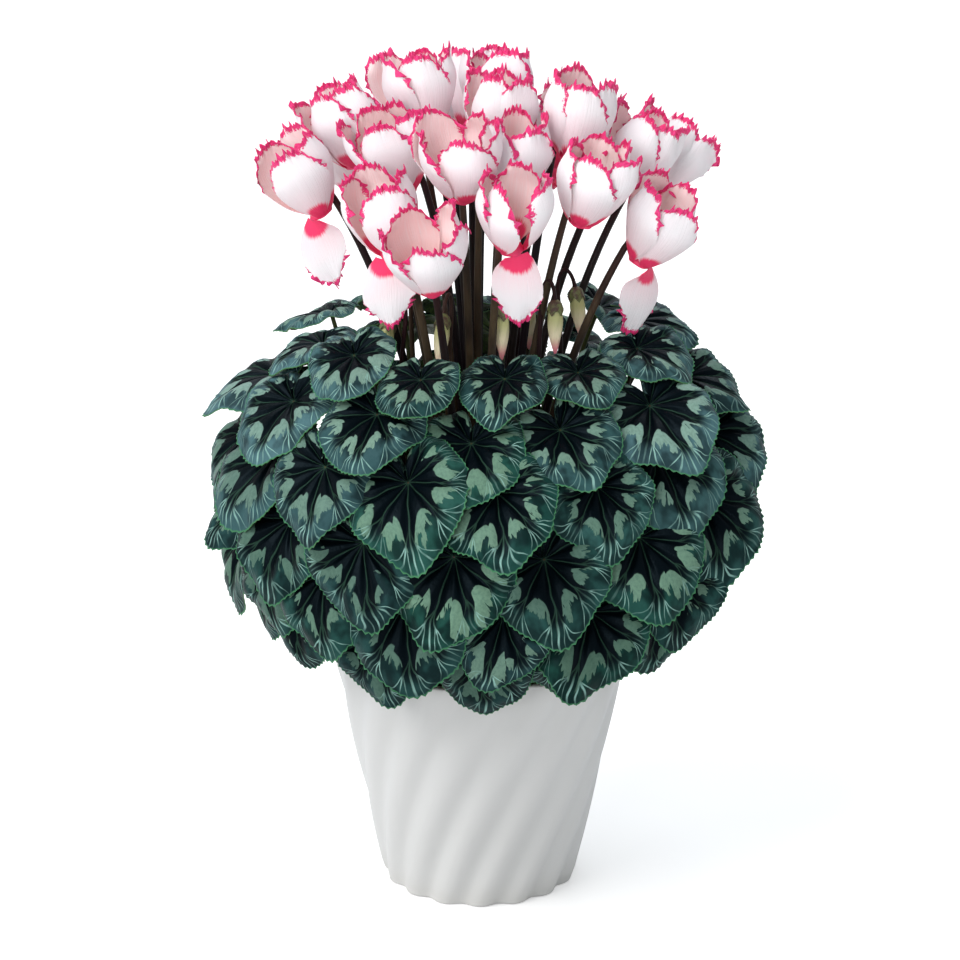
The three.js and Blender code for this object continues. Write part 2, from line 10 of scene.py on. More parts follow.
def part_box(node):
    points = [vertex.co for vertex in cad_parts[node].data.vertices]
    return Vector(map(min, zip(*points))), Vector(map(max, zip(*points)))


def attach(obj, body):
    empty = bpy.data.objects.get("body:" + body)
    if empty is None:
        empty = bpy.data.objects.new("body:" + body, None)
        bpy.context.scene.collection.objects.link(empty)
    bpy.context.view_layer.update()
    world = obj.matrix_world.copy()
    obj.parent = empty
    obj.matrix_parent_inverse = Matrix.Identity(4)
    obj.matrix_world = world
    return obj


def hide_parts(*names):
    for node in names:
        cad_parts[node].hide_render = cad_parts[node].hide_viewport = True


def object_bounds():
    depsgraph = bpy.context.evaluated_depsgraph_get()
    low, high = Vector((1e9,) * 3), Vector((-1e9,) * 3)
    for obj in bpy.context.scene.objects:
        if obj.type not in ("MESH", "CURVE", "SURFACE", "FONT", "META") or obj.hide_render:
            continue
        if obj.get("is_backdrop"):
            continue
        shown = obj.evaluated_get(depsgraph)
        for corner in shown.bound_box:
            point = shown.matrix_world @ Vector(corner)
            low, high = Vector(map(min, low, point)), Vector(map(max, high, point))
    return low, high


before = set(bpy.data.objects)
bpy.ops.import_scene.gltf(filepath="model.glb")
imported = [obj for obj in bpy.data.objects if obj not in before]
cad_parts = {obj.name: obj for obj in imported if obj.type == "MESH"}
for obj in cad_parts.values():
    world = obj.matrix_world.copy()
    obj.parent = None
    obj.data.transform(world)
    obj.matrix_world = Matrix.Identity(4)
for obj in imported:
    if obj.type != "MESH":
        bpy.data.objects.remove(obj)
CAD_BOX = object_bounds()

bl_info = {
    "name": "Potted Cyclamen",
    "version": (1, 0, 0),
    "blender": (4, 5, 0),
    "location": "View3D > Sidebar > Cyclamen",
    "description": "Builds a potted cyclamen with marbled leaves and fringed flowers around its frame",
    "category": "Add Mesh",
}

# Sizes are in metres, turns in degrees, and shares are parts of one, where nothing else is said.
MM = 0.001
FULL_WAVE = 6.28
TOUCHING = 1e-6

# The pot. Its height comes from the frame. The inner wall stands clear of the frame's flutes, which aren't
# as deep as the finished ones, and the floor's middle, with the drain holes, is a disc of its own.
POT_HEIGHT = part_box("pot")[1].z
POT_RIM_RADIUS = 0.080
POT_BASE_RADIUS = 0.0525
POT_WALL = 0.0032
POT_FLOOR = 0.005
POT_FOOT = 0.0016
POT_LIP = 0.0013
POT_CORNERS = 320
WALL_ROWS = 30
ROUNDING_ROWS = 4
FLUTE_DEPTH = 0.002
FLUTE_TURN = math.radians(52)
FLUTE_SHARPNESS = 1.25
DISC_RADIUS = 0.0395
DISC_OVERLAP = 0.0003
DRAIN_HOLES = 5
DRAIN_RADIUS = 0.0045
DRAIN_RING = 0.028

# What fills the pot. The peat's rows run out over its underside, up its wall and in over its top.
SOIL_TOP = 0.121
SOIL_CROWN = 0.004
SOIL_GAP = 0.0004
SOIL_UNDERSIDE = 0.12
SOIL_WALL = 0.30
SOIL_WAVES = 14
SOIL_SMOOTH_RIM = 0.97
SOIL_COLUMNS = 96
SOIL_ROWS = 70
UNDER_TUBER = 0.34
UNDER_TUBER_HEIGHT = 0.003
TUBER_TOP = 0.128
TRUNK_HEIGHT = 0.012
TRUNK_RADIUS = 0.020
TRUNK_WIDTHS = (0, 0.97, 1.0, 1.0, 0.97, 0.86, 0.5, 0)
TRUNK_RISES = (0, 0, 0.25, 0.6, 0.85, 0.97, 1.0, 1.0)
TRUNK_RIDGES = 9
TRUNK_SIDES = 54
CLEARANCE = 0.0003

# The draws that set each leaf, flower and bud a little apart from the others of its kind. Each item of the
# frame is one of its draws, and the one whose points lie nearest to the frame's corners is taken.
SEED = 59
NEXT_DRAW = 200
MOST_DRAWS = 150
FARTHEST_FIT = 0.0007

# Leaves, from the crown down: how many in a tier, their length, how far they droop and lie inside the tier
# above, the step to the next tier, where their stalks root and bend, and the turn of the tier.
TOP_RING = (0.080, 0.300)
TIER_KEYS = ("leaves", "length", "droop", "tuck", "step", "root", "reach", "turn")
TIERS = [dict(zip(TIER_KEYS, tier)) for tier in (
    (12, 0.049, 22, 30, 0.029, 0.028, 0.050, 8),
    (12, 0.057, 31, 32, 0.028, 0.035, 0.055, -4),
    (15, 0.060, 46, 32, 0.030, 0.042, 0.060, 12),
    (15, 0.061, 62, 32, 0.029, 0.049, 0.068, 0),
    (15, 0.060, 78, 32, 0.026, 0.056, 0.070, 12),
    (12, 0.059, 92, 0, 0.0, 0.062, 0.060, 0),
)]
LEAVES_PER_SPRAY = 3
LEAF_FUNNEL = 0.1
LEAF_WAVE = 0.03
LEAF_DIP = 0.06
LEAF_NARROWNESS = 0.95
LEAF_ROLL = 9
LEAF_ROLL_CHANGE = 4
LEAF_SWING = 18
LEAF_NOD = 8
LEAF_SHIFT = 0.004
LEAF_SIZE_CHANGE = 0.12
LEAF_TURN = 30
LEAF_ASIDE = 2
DOME_WAVE = 0.003
DOME_PHASE = 100
DOME_WIDTH = 0.04
DOME_SPREAD = 3
DOME_LIFT = 0.003
MARGIN_POINTS = 12
MARGIN_IN = 0.98
MARGIN_OUT = 1.03
LEAF_MIDDLE = 0.5
LEAF_FORWARD = 0.12
TIP_LENGTH = 0.1
TIP_WIDTH = 0.28
NOTCH_DEPTH = 0.3
NOTCH_WIDTH = 0.3
VEIN_SPACING = 0.60
STALK_RADIUS = 0.0015
STALK_SPACING = 0.0022
STALK_SIDES = 8
STALK_POINTS = 15
FOOT_RADIUS = 0.0044
FOOT_HEIGHT = 0.008
FOOT_WIDTHS = (0, 0.55, 0.8, 0.95, 0.9, 0.72, 0)
FOOT_RISES = (-0.016, -0.016, -0.008, 0.0, 0.004, 0.0072, 0.008)
FOOT_SIDES = 12

# The finer shape of a blade, in shares of its length: how much wider it is than the frame's, the bulges of
# its outline as size and count, its ripples as size, power of the share from the stalk and count, how far it
# puffs up between the veins, and how far its margin curls under.
LEAF_SPOKES = 144
LEAF_RINGS = 9
LEAF_GROWTH = 1.02
LEAF_BULGES = ((0.020, 5), (0.014, 8))
LEAF_RIPPLES = ((0.034, 3, 3), (0.020, 4, 7), (0.010, 5, 13))
LEAF_PUFF = 0.026
LEAF_CURL = 0.045
CURL_START = 0.80
# The heights between which a leaf counts from low to high, and how far aside it counts as outer: they set
# its painted sky sheen, its freshness and the painted shade on its silver.
LOW_LEAVES = 0.215
HIGH_LEAVES = 0.300
OUTER_LEAVES = 0.085

# Flowers. Their shift is in millimetres and degrees, and the flowers in DROOPING have a hanging petal.
BLOOMS = 22
BLOOM_RING = 0.090
BLOOM_HEIGHT = 0.397
BLOOM_DOME = 0.039
BLOOM_TILT = 0.007
BLOOM_STAGGER = 0.007
BLOOM_LEAN = 29
BLOOM_SHIFT = 5
BLOOM_NOD = 5
BLOOM_SWING = 24
GOLDEN_ANGLE = 137.508
BLOOM_TURN = 20
PETALS = 5
OUTERMOST_PETAL = 2
PETAL_GAP = 88
PETAL_COLUMNS = 48
PETAL_ROWS = 16
PETAL_CROWDING = 1.5
PETAL_CHANGE = 0.05
PETAL_ROOT_OUT = 0.0056
PETAL_ROOT_ASIDE = 0.33
MOUTH_RADIUS = 0.0054
MOUTH_DEPTH = 0.006
CALYX_SEAT = 0.0071
DROOPING = (12, 15, 17, 18)

# The throat and the stigma, from the inside down and round the lip: radii and heights in millimetres.
THROAT_RADII = (0, 1.6, 3.0, 4.3, 5.1, 5.8, 6.3, 5.6, 4.6, 2.6, 0)
THROAT_HEIGHTS = (5.4, 4.9, 3.6, 1.7, 0.2, -0.4, 0.6, 1.6, 3.4, 6.0, 6.6)
THROAT_SIDES = 40
STIGMA_RADII = (0, 1.1, 0.8, 0.5, 0.35, 0)
STIGMA_HEIGHTS = (5.0, 4.8, 3.0, 1.0, -0.6, -0.8)
STIGMA_SIDES = 8

# Stems and buds. A hook is a curve's control points: out from the flower's axis, and up from its mouth. A
# cup is a calyx. One stem in four is pale, and the others are dark.
STEM_RADIUS = 0.0021
STEM_SIDES = 10
STEM_SUNK = 0.001
RISE_POINTS = 19
HOOK_POINTS = 14
HOOK_START = 0.14
HOOK_SHARE = 0.68
HOOK_OVERLAP = 0.003
BLOOM_HOOK = ((-0.010, -0.005), (-0.0115, 0.022), (0, 0.020), (0, CALYX_SEAT + 0.002))
BUD_HOOK = ((-0.0095, -0.004), (-0.010, 0.019), (-0.0005, 0.019), (0, 0.003))
BLOOM_CUP = {"top_radius": 0.0030, "low_radius": 0.0042, "low": CALYX_SEAT, "height": 0.0034, "lobes": 0.0}
BUD_CUP = {"top_radius": 0.0026, "low_radius": 0.0046, "low": -0.0005, "height": 0.0056, "lobes": 0.0035}
CUP_SIDES = 20
CUP_ROWS = 12
CUP_OUTSIDE = 0.55
CUP_WALL = 0.0006
CUP_ROOF = 0.0005
STEM_STRAIGHT = 0.085
STEM_SPREAD = 0.18
DARK_STEMS = 0.74
PALE_TONE = 0.9
DARK_TONE = 0.22
BUDS = 7
BUD_RING = 0.047
BUD_HEIGHT = 0.318
BUD_LENGTH = 0.024
BUD_RADIUS = 0.004
BUD_CORNERS = 6
BUD_SPACING = 42
BUD_TURN = -78
BUD_SHIFT = 12
BUD_LEAN = -6
BUD_NOD = 6
BUD_STEM_LEAN = 0.005
BUD_TOP_SHARE = 0.9
BUD_TIP_SHARE = 0.5
BUD_SIDES = 40
BUD_ROWS = 28

# Where the lights stand, how wide they are and how far they spread.
SUN_PLACE = (-0.55, -0.38, 0.76)
SUN_WIDTH = math.radians(40)
TOP_LIGHT_PLACE = (0.1, 0.9, 1.4)
TOP_LIGHT_SIZE = 1.2
FRONT_LIGHT_PLACE = (-0.25, -0.85, 0.62)
FRONT_LIGHT_SIZE = 0.5
FRONT_LIGHT_SPREAD = math.radians(32)
FLOWERS_OVER_AIM = 0.19
SENSOR_WIDTH = 36


def chance(item, trait):
    """A number from 0 to 1 that is fixed for each item and trait, and looks like a random draw."""
    wave = math.sin(item * 12.9898 + trait * 78.233 + SEED) * 43758.5453
    return wave - math.floor(wave)


def vary(item, trait, span):
    return (2 * chance(item, trait) - 1) * span


def around(radius, turn, height=0.0):
    """The point at this radius, turn in degrees and height round the plant's middle."""
    return Vector((radius * math.cos(math.radians(turn)), radius * math.sin(math.radians(turn)), height))


def turned(radius, turn, height):
    """Rows of points at these radii, turns in radians and heights."""
    return np.column_stack((radius * np.cos(turn), radius * np.sin(turn), height))


def profile(along, *shapes):
    """The values of each shape at the share of the way along it."""
    row = np.rint(along * (len(shapes[0]) - 1)).astype(int)
    return [np.array(shape)[row] for shape in shapes]


def numbered(name, index):
    return f"{name}_{index + 1:02d}"


def smooth_step(low, high, value):
    share = np.clip((value - low) / (high - low), 0, 1)
    return share * share * (3 - 2 * share)


# Places of leaves, flowers and buds, as in the frame.
def fitted(node, item, make, marks):
    """The place that make gives for the one of the item's draws whose marks lie on the node's corners."""
    found = corners(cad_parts[node])
    best, place = FARTHEST_FIT, None
    for number in range(MOST_DRAWS):
        tried = make(item + number * NEXT_DRAW)
        points = placed(marks(tried), tried["basis"])
        gap = np.linalg.norm(found[None] - points[:, None], axis=2).min(axis=1).mean()
        if gap < best:
            best, place = gap, tried
    if place is None:
        raise RuntimeError(f"no draw of item {item} fits the frame's node {node}")
    return place


@functools.cache
def leaf_places():
    """One dictionary for each spray: its node, its tier, its root's turn and its three leaves."""
    sprays = []
    ring_radius, ring_height = TOP_RING
    number = 0
    for tier in TIERS:
        for first in range(0, tier["leaves"], LEAVES_PER_SPRAY):
            node = numbered("leaf_spray", len(sprays))
            leaves = []
            for index in range(first, first + LEAVES_PER_SPRAY):
                make = functools.partial(leaf_place, tier, ring_radius, ring_height, index)
                leaves.append(fitted(node, number, make, leaf_marks))
                number += 1
            turn = tier["turn"] + (first + 1) * 360 / tier["leaves"]
            sprays.append({"node": node, "tier": tier, "turn": turn, "leaves": leaves})
        slope = math.radians(tier["droop"] + tier["tuck"])
        ring_radius += tier["step"] * math.cos(slope)
        ring_height -= tier["step"] * math.sin(slope)
    return sprays


def leaf_place(tier, ring_radius, ring_height, index, lot):
    turn = tier["turn"] + index * 360 / tier["leaves"] + vary(lot, 1, LEAF_ASIDE)
    side = math.cos(math.radians(2 * turn))
    rise = DOME_LIFT * side + DOME_WAVE * math.sin(math.radians(3 * turn + DOME_PHASE))
    droop = math.radians(tier["droop"] - DOME_SPREAD * side + vary(lot, 2, LEAF_NOD))
    distance = ring_radius * (1 + DOME_WIDTH * side) + vary(lot, 3, LEAF_SHIFT)
    joint = around(distance, turn, ring_height + rise + vary(lot, 4, LEAF_SHIFT))
    out, up = around(1, turn), Vector((0, 0, 1))
    tip = out * math.cos(droop) - up * math.sin(droop)
    face = out * math.sin(droop) + up * math.cos(droop)
    basis = Matrix((tip.cross(face), tip, face)).transposed().to_4x4()
    to_front = Matrix.Rotation(math.radians(-LEAF_TURN * math.cos(math.radians(turn))), 4, "Z")
    swing = Matrix.Rotation(math.radians(vary(lot, 5, LEAF_SWING)), 4, "Z")
    roll = Matrix.Rotation(math.radians(LEAF_ROLL + vary(lot, 6, LEAF_ROLL_CHANGE)), 4, "Y")
    basis = Matrix.Translation(joint) @ to_front @ basis @ swing @ roll
    length = tier["length"] * (1 + vary(lot, 7, LEAF_SIZE_CHANGE))
    return {"lot": lot, "joint": joint, "basis": basis, "length": length}


def leaf_marks(leaf):
    """The points of the margin that the frame's blade has."""
    angle = np.arange(MARGIN_POINTS) * 2 * math.pi / MARGIN_POINTS
    angle = np.where(angle > math.pi, angle - 2 * math.pi, angle)
    radius, height = blade_form(leaf, 1.0, angle)
    radius = radius * np.where(np.arange(MARGIN_POINTS) % 2, MARGIN_IN, MARGIN_OUT)
    return blade_points(radius, angle, height)


def bloom_place(index, lot):
    distance = BLOOM_RING * math.sqrt((index + 0.5) / BLOOMS) + vary(lot, 26, BLOOM_SHIFT * MM)
    turn = BLOOM_TURN + index * GOLDEN_ANGLE + vary(lot, 27, BLOOM_SHIFT)
    share = distance / BLOOM_RING
    nose = around(distance, turn)
    nose.z = BLOOM_HEIGHT - BLOOM_DOME * share * share + BLOOM_TILT * (nose.y / BLOOM_RING)
    nose.z += (BLOOM_STAGGER if index % 2 else -BLOOM_STAGGER) + vary(lot, 21, BLOOM_SHIFT * MM)
    basis = Matrix.Translation(nose) @ Matrix.Rotation(math.radians(turn), 4, "Z")
    basis = basis @ Matrix.Rotation(math.radians(BLOOM_LEAN * share + vary(lot, 24, BLOOM_NOD)), 4, "Y")
    basis = basis @ Matrix.Rotation(math.radians(vary(lot, 25, BLOOM_SWING)), 4, "Z")
    return {"index": index, "lot": lot, "distance": distance, "turn": turn, "basis": basis}


def petal_turn(index):
    return math.radians(180 + PETAL_GAP / 2 + index * (360 - PETAL_GAP) / (PETALS - 1))


def bloom_marks(bloom):
    """The top of the frame's nose, and the points of its rim."""
    sides = (-PETAL_ROOT_ASIDE, PETAL_ROOT_ASIDE)
    rim = [petal_turn(index) + aside for index in range(PETALS) for aside in sides]
    points = [(MOUTH_RADIUS * math.cos(turn), MOUTH_RADIUS * math.sin(turn), 0) for turn in rim]
    return np.array([(0, 0, MOUTH_DEPTH), *points])


@functools.cache
def bloom_places():
    return [fitted(numbered("bloom", index), index, functools.partial(bloom_place, index), bloom_marks)
            for index in range(BLOOMS)]


def bud_place(index, lot):
    turn = BUD_TURN + (index - (BUDS - 1) / 2) * BUD_SPACING + vary(lot, 31, BUD_SHIFT)
    out = BUD_RING + vary(lot, 32, BUD_SHIFT / 2 * MM)
    place = around(out, turn, BUD_HEIGHT + vary(lot, 33, BUD_SHIFT * MM))
    basis = Matrix.Translation(place) @ Matrix.Rotation(math.radians(turn), 4, "Z")
    basis = basis @ Matrix.Rotation(math.radians(BUD_LEAN + vary(lot, 34, BUD_NOD)), 4, "Y")
    return {"index": index, "lot": lot, "turn": turn, "basis": basis}


def bud_marks(bud):
    """The corners of the top and the tip of the frame's bud."""
    turns = [2 * math.pi * corner / BUD_CORNERS for corner in range(BUD_CORNERS)]
    rings = ((BUD_TOP_SHARE * BUD_RADIUS, -CLEARANCE), (BUD_TIP_SHARE * BUD_RADIUS, -BUD_LENGTH))
    points = [(out * math.sin(turn), -out * math.cos(turn), high) for out, high in rings for turn in turns]
    return np.array(points)


@functools.cache
def bud_places():
    return [fitted(numbered("bud", index), index, functools.partial(bud_place, index), bud_marks)
            for index in range(BUDS)]


# Modelling.
def deselect():
    if bpy.context.object and bpy.context.object.mode != "OBJECT":
        bpy.ops.object.mode_set(mode="OBJECT")
    bpy.ops.object.select_all(action="DESELECT")


def select(*objects):
    deselect()
    for piece in objects:
        piece.select_set(True)
    bpy.context.view_layer.objects.active = objects[0]


def join(name, *objects):
    """Joins pieces into the first one and names it."""
    select(*objects)
    if len(objects) > 1:
        bpy.ops.object.join()
    piece = bpy.context.object
    piece.name = name
    piece.data.name = name
    return piece


def corners(piece):
    """The vertices of a mesh as rows of x, y and z."""
    points = np.empty(len(piece.data.vertices) * 3)
    piece.data.vertices.foreach_get("co", points)
    return points.reshape(-1, 3)


def move_corners(piece, points):
    piece.data.vertices.foreach_set("co", np.ascontiguousarray(points, dtype=np.float64).ravel())
    piece.data.update()


def placed(points, basis):
    """Rows of points moved by a matrix."""
    turn = np.array(basis.to_3x3())
    return points @ turn.T + np.array(basis.translation)


def grid(name, columns, rows):
    """A flat grid from -1 to 1 both ways, with its own UV map."""
    deselect()
    bpy.ops.mesh.primitive_grid_add(x_subdivisions=columns, y_subdivisions=rows, size=2, calc_uvs=True)
    piece = bpy.context.object
    piece.name = name
    return piece


def merge(outwards):
    """Merges the points of the active piece that touch, and turns its faces outwards if it is closed."""
    bpy.ops.object.mode_set(mode="EDIT")
    bpy.ops.mesh.select_all(action="SELECT")
    bpy.ops.mesh.remove_doubles(threshold=TOUCHING)
    if outwards:
        bpy.ops.mesh.normals_make_consistent(inside=False)
    bpy.ops.object.mode_set(mode="OBJECT")


def rolled(name, columns, rows, place, shut=True):
    """A grid rolled up: place turns the turn round the roll and the share along it into points."""
    piece = grid(name, columns, rows)
    flat = corners(piece)
    turn = (flat[:, 0] + 1) * math.pi
    along = (flat[:, 1] + 1) / 2
    move_corners(piece, place(turn, along))
    merge(outwards=shut)
    return piece


def crowd_pattern(piece, crowded):
    """Moves the rows of a piece's UV map closer together, as the rows of its points are."""
    layer = piece.data.uv_layers.active.data
    marks = np.empty(len(layer) * 2, dtype=np.float32)
    layer.foreach_get("uv", marks)
    marks = marks.reshape(-1, 2)
    marks[:, 1] = crowded(np.clip(marks[:, 1], 0, 1))
    layer.foreach_set("uv", marks.ravel())


def copied(piece, name):
    """A copy of a piece, with a mesh of its own."""
    twin = bpy.data.objects.new(name, piece.data.copy())
    bpy.context.collection.objects.link(twin)
    return twin


def discard(*objects):
    for piece in objects:
        bpy.data.objects.remove(piece, do_unlink=True)


def thicken(piece, thickness, under=0, rim=0):
    """Gives a sheet its thickness, half to each side."""
    select(piece)
    wall = piece.modifiers.new("wall", "SOLIDIFY")
    wall.thickness = thickness
    wall.offset = 0
    wall.material_offset = under
    wall.material_offset_rim = rim
    bpy.ops.object.modifier_apply(modifier=wall.name)


def shade(piece, angle):
    """Smooths a piece, with edges that are sharper than the angle kept."""
    select(piece)
    bpy.ops.object.shade_smooth_by_angle(angle=math.radians(angle))


def note(piece, **values):
    """Keeps numbers for each vertex, which the materials read by their names."""
    for name, value in values.items():
        mark = piece.data.attributes.new(name, "FLOAT", "POINT")
        mark.data.foreach_set("value", np.full(len(piece.data.vertices), value, dtype=np.float32))


def finished(piece, slot, *nodes):
    """A finished piece takes the place of its nodes in the frame."""
    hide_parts(*nodes)
    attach(piece, "root")


def tube_points(path, radii, turn, along):
    """Points on a tube along a path. The first and last rows close on the path."""
    path = np.array(path)
    tangent = np.gradient(path, axis=0)
    tangent /= np.linalg.norm(tangent, axis=1)[:, None]
    side = np.cross(tangent[0], (0.31, 0.95, 0.05))
    sides = []
    for direction in tangent:
        side = side - direction * side.dot(direction)
        side = side / np.linalg.norm(side)
        sides.append(side)
    sides = np.array(sides)
    others = np.cross(tangent, sides)
    rows = np.rint(along * (len(path) - 1)).astype(int)
    radius = np.array(radii)[rows]
    ring = sides[rows] * np.cos(turn)[:, None] + others[rows] * np.sin(turn)[:, None]
    return path[rows] + ring * radius[:, None]


def bezier(controls, shares):
    """Points on a quadratic or cubic curve."""
    controls = [np.array(control) for control in controls]
    degree = len(controls) - 1
    points = []
    for share in shares:
        weights = [math.comb(degree, k) * share**k * (1 - share) ** (degree - k) for k in range(degree + 1)]
        points.append(sum(weight * control for weight, control in zip(weights, controls)))
    return points


# Materials.
class Shading:
    """Adds nodes to a node tree and joins them."""

    def __init__(self, tree):
        self.tree = tree

    def add(self, kind, inputs=None, **settings):
        node = self.tree.nodes.new(kind)
        for name, value in settings.items():
            setattr(node, name, value)
        self.put(node, inputs or {})
        return node

    def feed(self, socket, value):
        if isinstance(value, bpy.types.NodeSocket):
            self.tree.links.new(value, socket)
        elif socket.type == "RGBA" and len(value) == 3:
            socket.default_value = (*value, 1)
        else:
            socket.default_value = value

    def put(self, node, inputs):
        """Feeds a node's inputs by their names, each with a number, a colour or another node's output."""
        for name, value in inputs.items():
            self.feed(node.inputs[name], value)

    def math(self, operation, first, second=0.0, third=0.0, clamp=False):
        node = self.add("ShaderNodeMath", operation=operation, use_clamp=clamp)
        for socket, value in zip(node.inputs, (first, second, third)):
            self.feed(socket, value)
        return node.outputs[0]

    def step(self, value, low, high, start=0.0, end=1.0):
        """Start below low, end above high, and a smooth change between them."""
        ends = {"Value": value, "From Min": low, "From Max": high, "To Min": start, "To Max": end}
        return self.add("ShaderNodeMapRange", ends, interpolation_type="SMOOTHSTEP").outputs["Result"]

    def mix(self, factor, first, second):
        node = self.add("ShaderNodeMix", data_type="RGBA")
        self.feed(node.inputs["Factor"], factor)
        self.feed(node.inputs[6], first)
        self.feed(node.inputs[7], second)
        return node.outputs[2]

    def noise(self, vector, scale, detail=2.0, roughness=0.5):
        inputs = {"Scale": scale, "Detail": detail, "Roughness": roughness, "Vector": vector}
        return self.add("ShaderNodeTexNoise", inputs).outputs["Fac"]

    def vector(self, x, y, z=0.0):
        return self.add("ShaderNodeCombineXYZ", {"X": x, "Y": y, "Z": z}).outputs[0]

    def note(self, name):
        return self.add("ShaderNodeAttribute", attribute_name=name).outputs["Fac"]

    def place(self):
        return self.add("ShaderNodeTexCoord").outputs["Object"]

    def uv(self):
        """The two parts of the piece's own UV map."""
        split = self.add("ShaderNodeSeparateXYZ", {"Vector": self.add("ShaderNodeUVMap").outputs[0]})
        return split.outputs["X"], split.outputs["Y"]

    def bump(self, height, distance, strength=1.0):
        inputs = {"Height": height, "Distance": distance, "Strength": strength}
        return self.add("ShaderNodeBump", inputs).outputs[0]

    def scaled(self, value, factor):
        return self.math("MULTIPLY", value, factor)

    def stretched(self, value, factor, start):
        """The start plus the value times the factor."""
        return self.math("MULTIPLY_ADD", value, factor, start)


def new_material(name, roughness=0.5, **plain):
    """A material with a Principled shader. Values that are the same all over are set on its sockets."""
    material = bpy.data.materials.new(name)
    material.use_nodes = True
    shader = material.node_tree.nodes["Principled BSDF"]
    shader.inputs["Roughness"].default_value = roughness
    for socket, value in plain.items():
        shader.inputs[socket.replace("_", " ")].default_value = value
    return material, Shading(material.node_tree), shader


def new_group(name, inputs, outputs):
    """A node group with named number inputs and outputs."""
    group = bpy.data.node_groups.new(name, "ShaderNodeTree")
    for label in inputs:
        group.interface.new_socket(label, in_out="INPUT", socket_type="NodeSocketFloat")
    for label in outputs:
        group.interface.new_socket(label, in_out="OUTPUT", socket_type="NodeSocketFloat")
    shading = Shading(group)
    entry = shading.add("NodeGroupInput")
    leave = shading.add("NodeGroupOutput")
    return group, shading, entry, leave


def leaf_pattern():
    """The pattern of a leaf by the turn off its midrib and the share of the way to its margin: the veins,
    which fork twice, the silver blotches between them, and the paler zone outside the blotches."""
    if "leaf pattern" in bpy.data.node_groups:
        return bpy.data.node_groups["leaf pattern"]
    group, s, entry, leave = new_group(
        "leaf pattern", ("Turn", "Share", "Draw"), ("Vein", "Blotch", "Outer", "Grain", "Cloud", "Swell"))
    turn, share, own = (entry.outputs[name] for name in ("Turn", "Share", "Draw"))
    lot = s.scaled(own, 61.0)
    x = s.math("MULTIPLY", s.math("SINE", turn), share)
    y = s.math("MULTIPLY", s.math("COSINE", turn), share)
    flat = s.vector(x, y, lot)

    main_width, branch_width, twig_width = 0.010, 0.008, 0.006
    branch_start, twig_start = 0.54, 0.74

    # Each vein has a cell of the turn. Its number counts from the midrib, and off is how far the vein is.
    wander = s.scaled(s.math("SUBTRACT", s.noise(flat, 2.6, 1.0), 0.5), 0.24)
    bow = s.scaled(x, -0.12)
    cell = s.math("DIVIDE", s.math("ADD", turn, s.math("ADD", wander, bow)), VEIN_SPACING)
    offset = s.math("SUBTRACT", s.math("FRACT", s.math("ADD", cell, 0.5)), 0.5)
    number = s.math("SUBTRACT", cell, offset)
    off = s.math("ABSOLUTE", offset)
    metric = s.scaled(share, VEIN_SPACING)

    def line(distance, width):
        real = s.math("MULTIPLY", distance, metric)
        return s.step(real, width * 0.5, width * 1.5, 1.0, 0.0)

    def forked(distance, start, spread):
        """How far it is to the branches into which a vein forks at start."""
        past = s.math("MAXIMUM", s.math("SUBTRACT", share, start), 0.0)
        return s.math("ABSOLUTE", s.math("SUBTRACT", distance, s.scaled(past, spread)))

    midrib = s.step(s.math("ABSOLUTE", number), 0.4, 0.6, 1.0, 0.0)
    kept = s.math("MAXIMUM", midrib, s.step(share, 0.60, 0.72, 1.0, 0.25))
    main = s.math("MULTIPLY", line(off, main_width), kept)
    first = forked(off, branch_start, 0.66)
    branches = s.math("MULTIPLY", line(first, branch_width), s.step(share, 0.52, 0.57))
    second = forked(first, twig_start, 0.70)
    twigs = s.math("MULTIPLY", line(second, twig_width), s.step(share, 0.73, 0.77))
    faded = s.step(s.noise(flat, 5.0, 2.0), 0.36, 0.62, 0.30, 1.0)
    fine = s.math("MULTIPLY", s.math("MAXIMUM", branches, twigs), faded)
    vein = s.math("MULTIPLY", s.math("MAXIMUM", main, fine), s.step(share, 0.90, 0.975, 1.0, 0.35))

    # Each cell's blotch starts and ends at its own share of the way out, and its outer end is ragged.
    own_start = s.noise(s.vector(s.scaled(number, 7.3), lot, 3.0), 1.0, 0.0)
    own_depth = s.noise(s.vector(s.scaled(number, 5.1), lot, 9.0), 1.0, 0.0)
    edge = s.stretched(s.noise(flat, 7.0, 2.0), 0.08, -0.04)
    middle = s.math("ADD", s.math("ADD", s.stretched(own_start, 0.34, -0.17), 0.50), edge)
    between = s.math("SUBTRACT", 0.5, off)
    inner = s.stretched(s.math("POWER", between, 3.5), 7.0, middle)
    fingers = s.noise(s.vector(s.scaled(turn, 9.0), s.scaled(share, 3.0), lot), 1.0, 2.5, 0.60)
    outer = s.math("ADD", middle, s.stretched(own_depth, 0.75, -0.16))
    outer = s.math("ADD", outer, s.stretched(fingers, 0.62, -0.31))
    past_inner = s.step(s.math("SUBTRACT", share, inner), 0.0, 0.022)
    past_outer = s.step(s.math("SUBTRACT", share, outer), -0.012, 0.016, 1.0, 0.0)
    beside = s.step(off, 0.075, 0.120)
    blotch = s.math("MULTIPLY", s.math("MULTIPLY", past_inner, past_outer), beside)
    reach = s.math("MINIMUM", inner, s.stretched(own_start, 0.16, 0.62))
    s.put(leave, {
        "Vein": vein,
        "Blotch": blotch,
        "Outer": s.step(s.math("SUBTRACT", share, reach), -0.02, 0.22),
        "Grain": s.noise(flat, 22.0, 3.0, 0.6),
        "Cloud": s.noise(flat, 3.6, 2.0, 0.55),
        "Swell": s.step(off, 0.0, 0.30),
    })
    return group


def use_leaf_pattern(s):
    """The leaf pattern's outputs, fed from a blade's UV map and its own draw."""
    across, share = s.uv()
    turn = s.scaled(s.math("SUBTRACT", across, 0.5), 2 * math.pi)
    node = s.add("ShaderNodeGroup", node_tree=leaf_pattern())
    s.put(node, {"Turn": turn, "Share": share, "Draw": s.note("draw")})
    return node.outputs, share


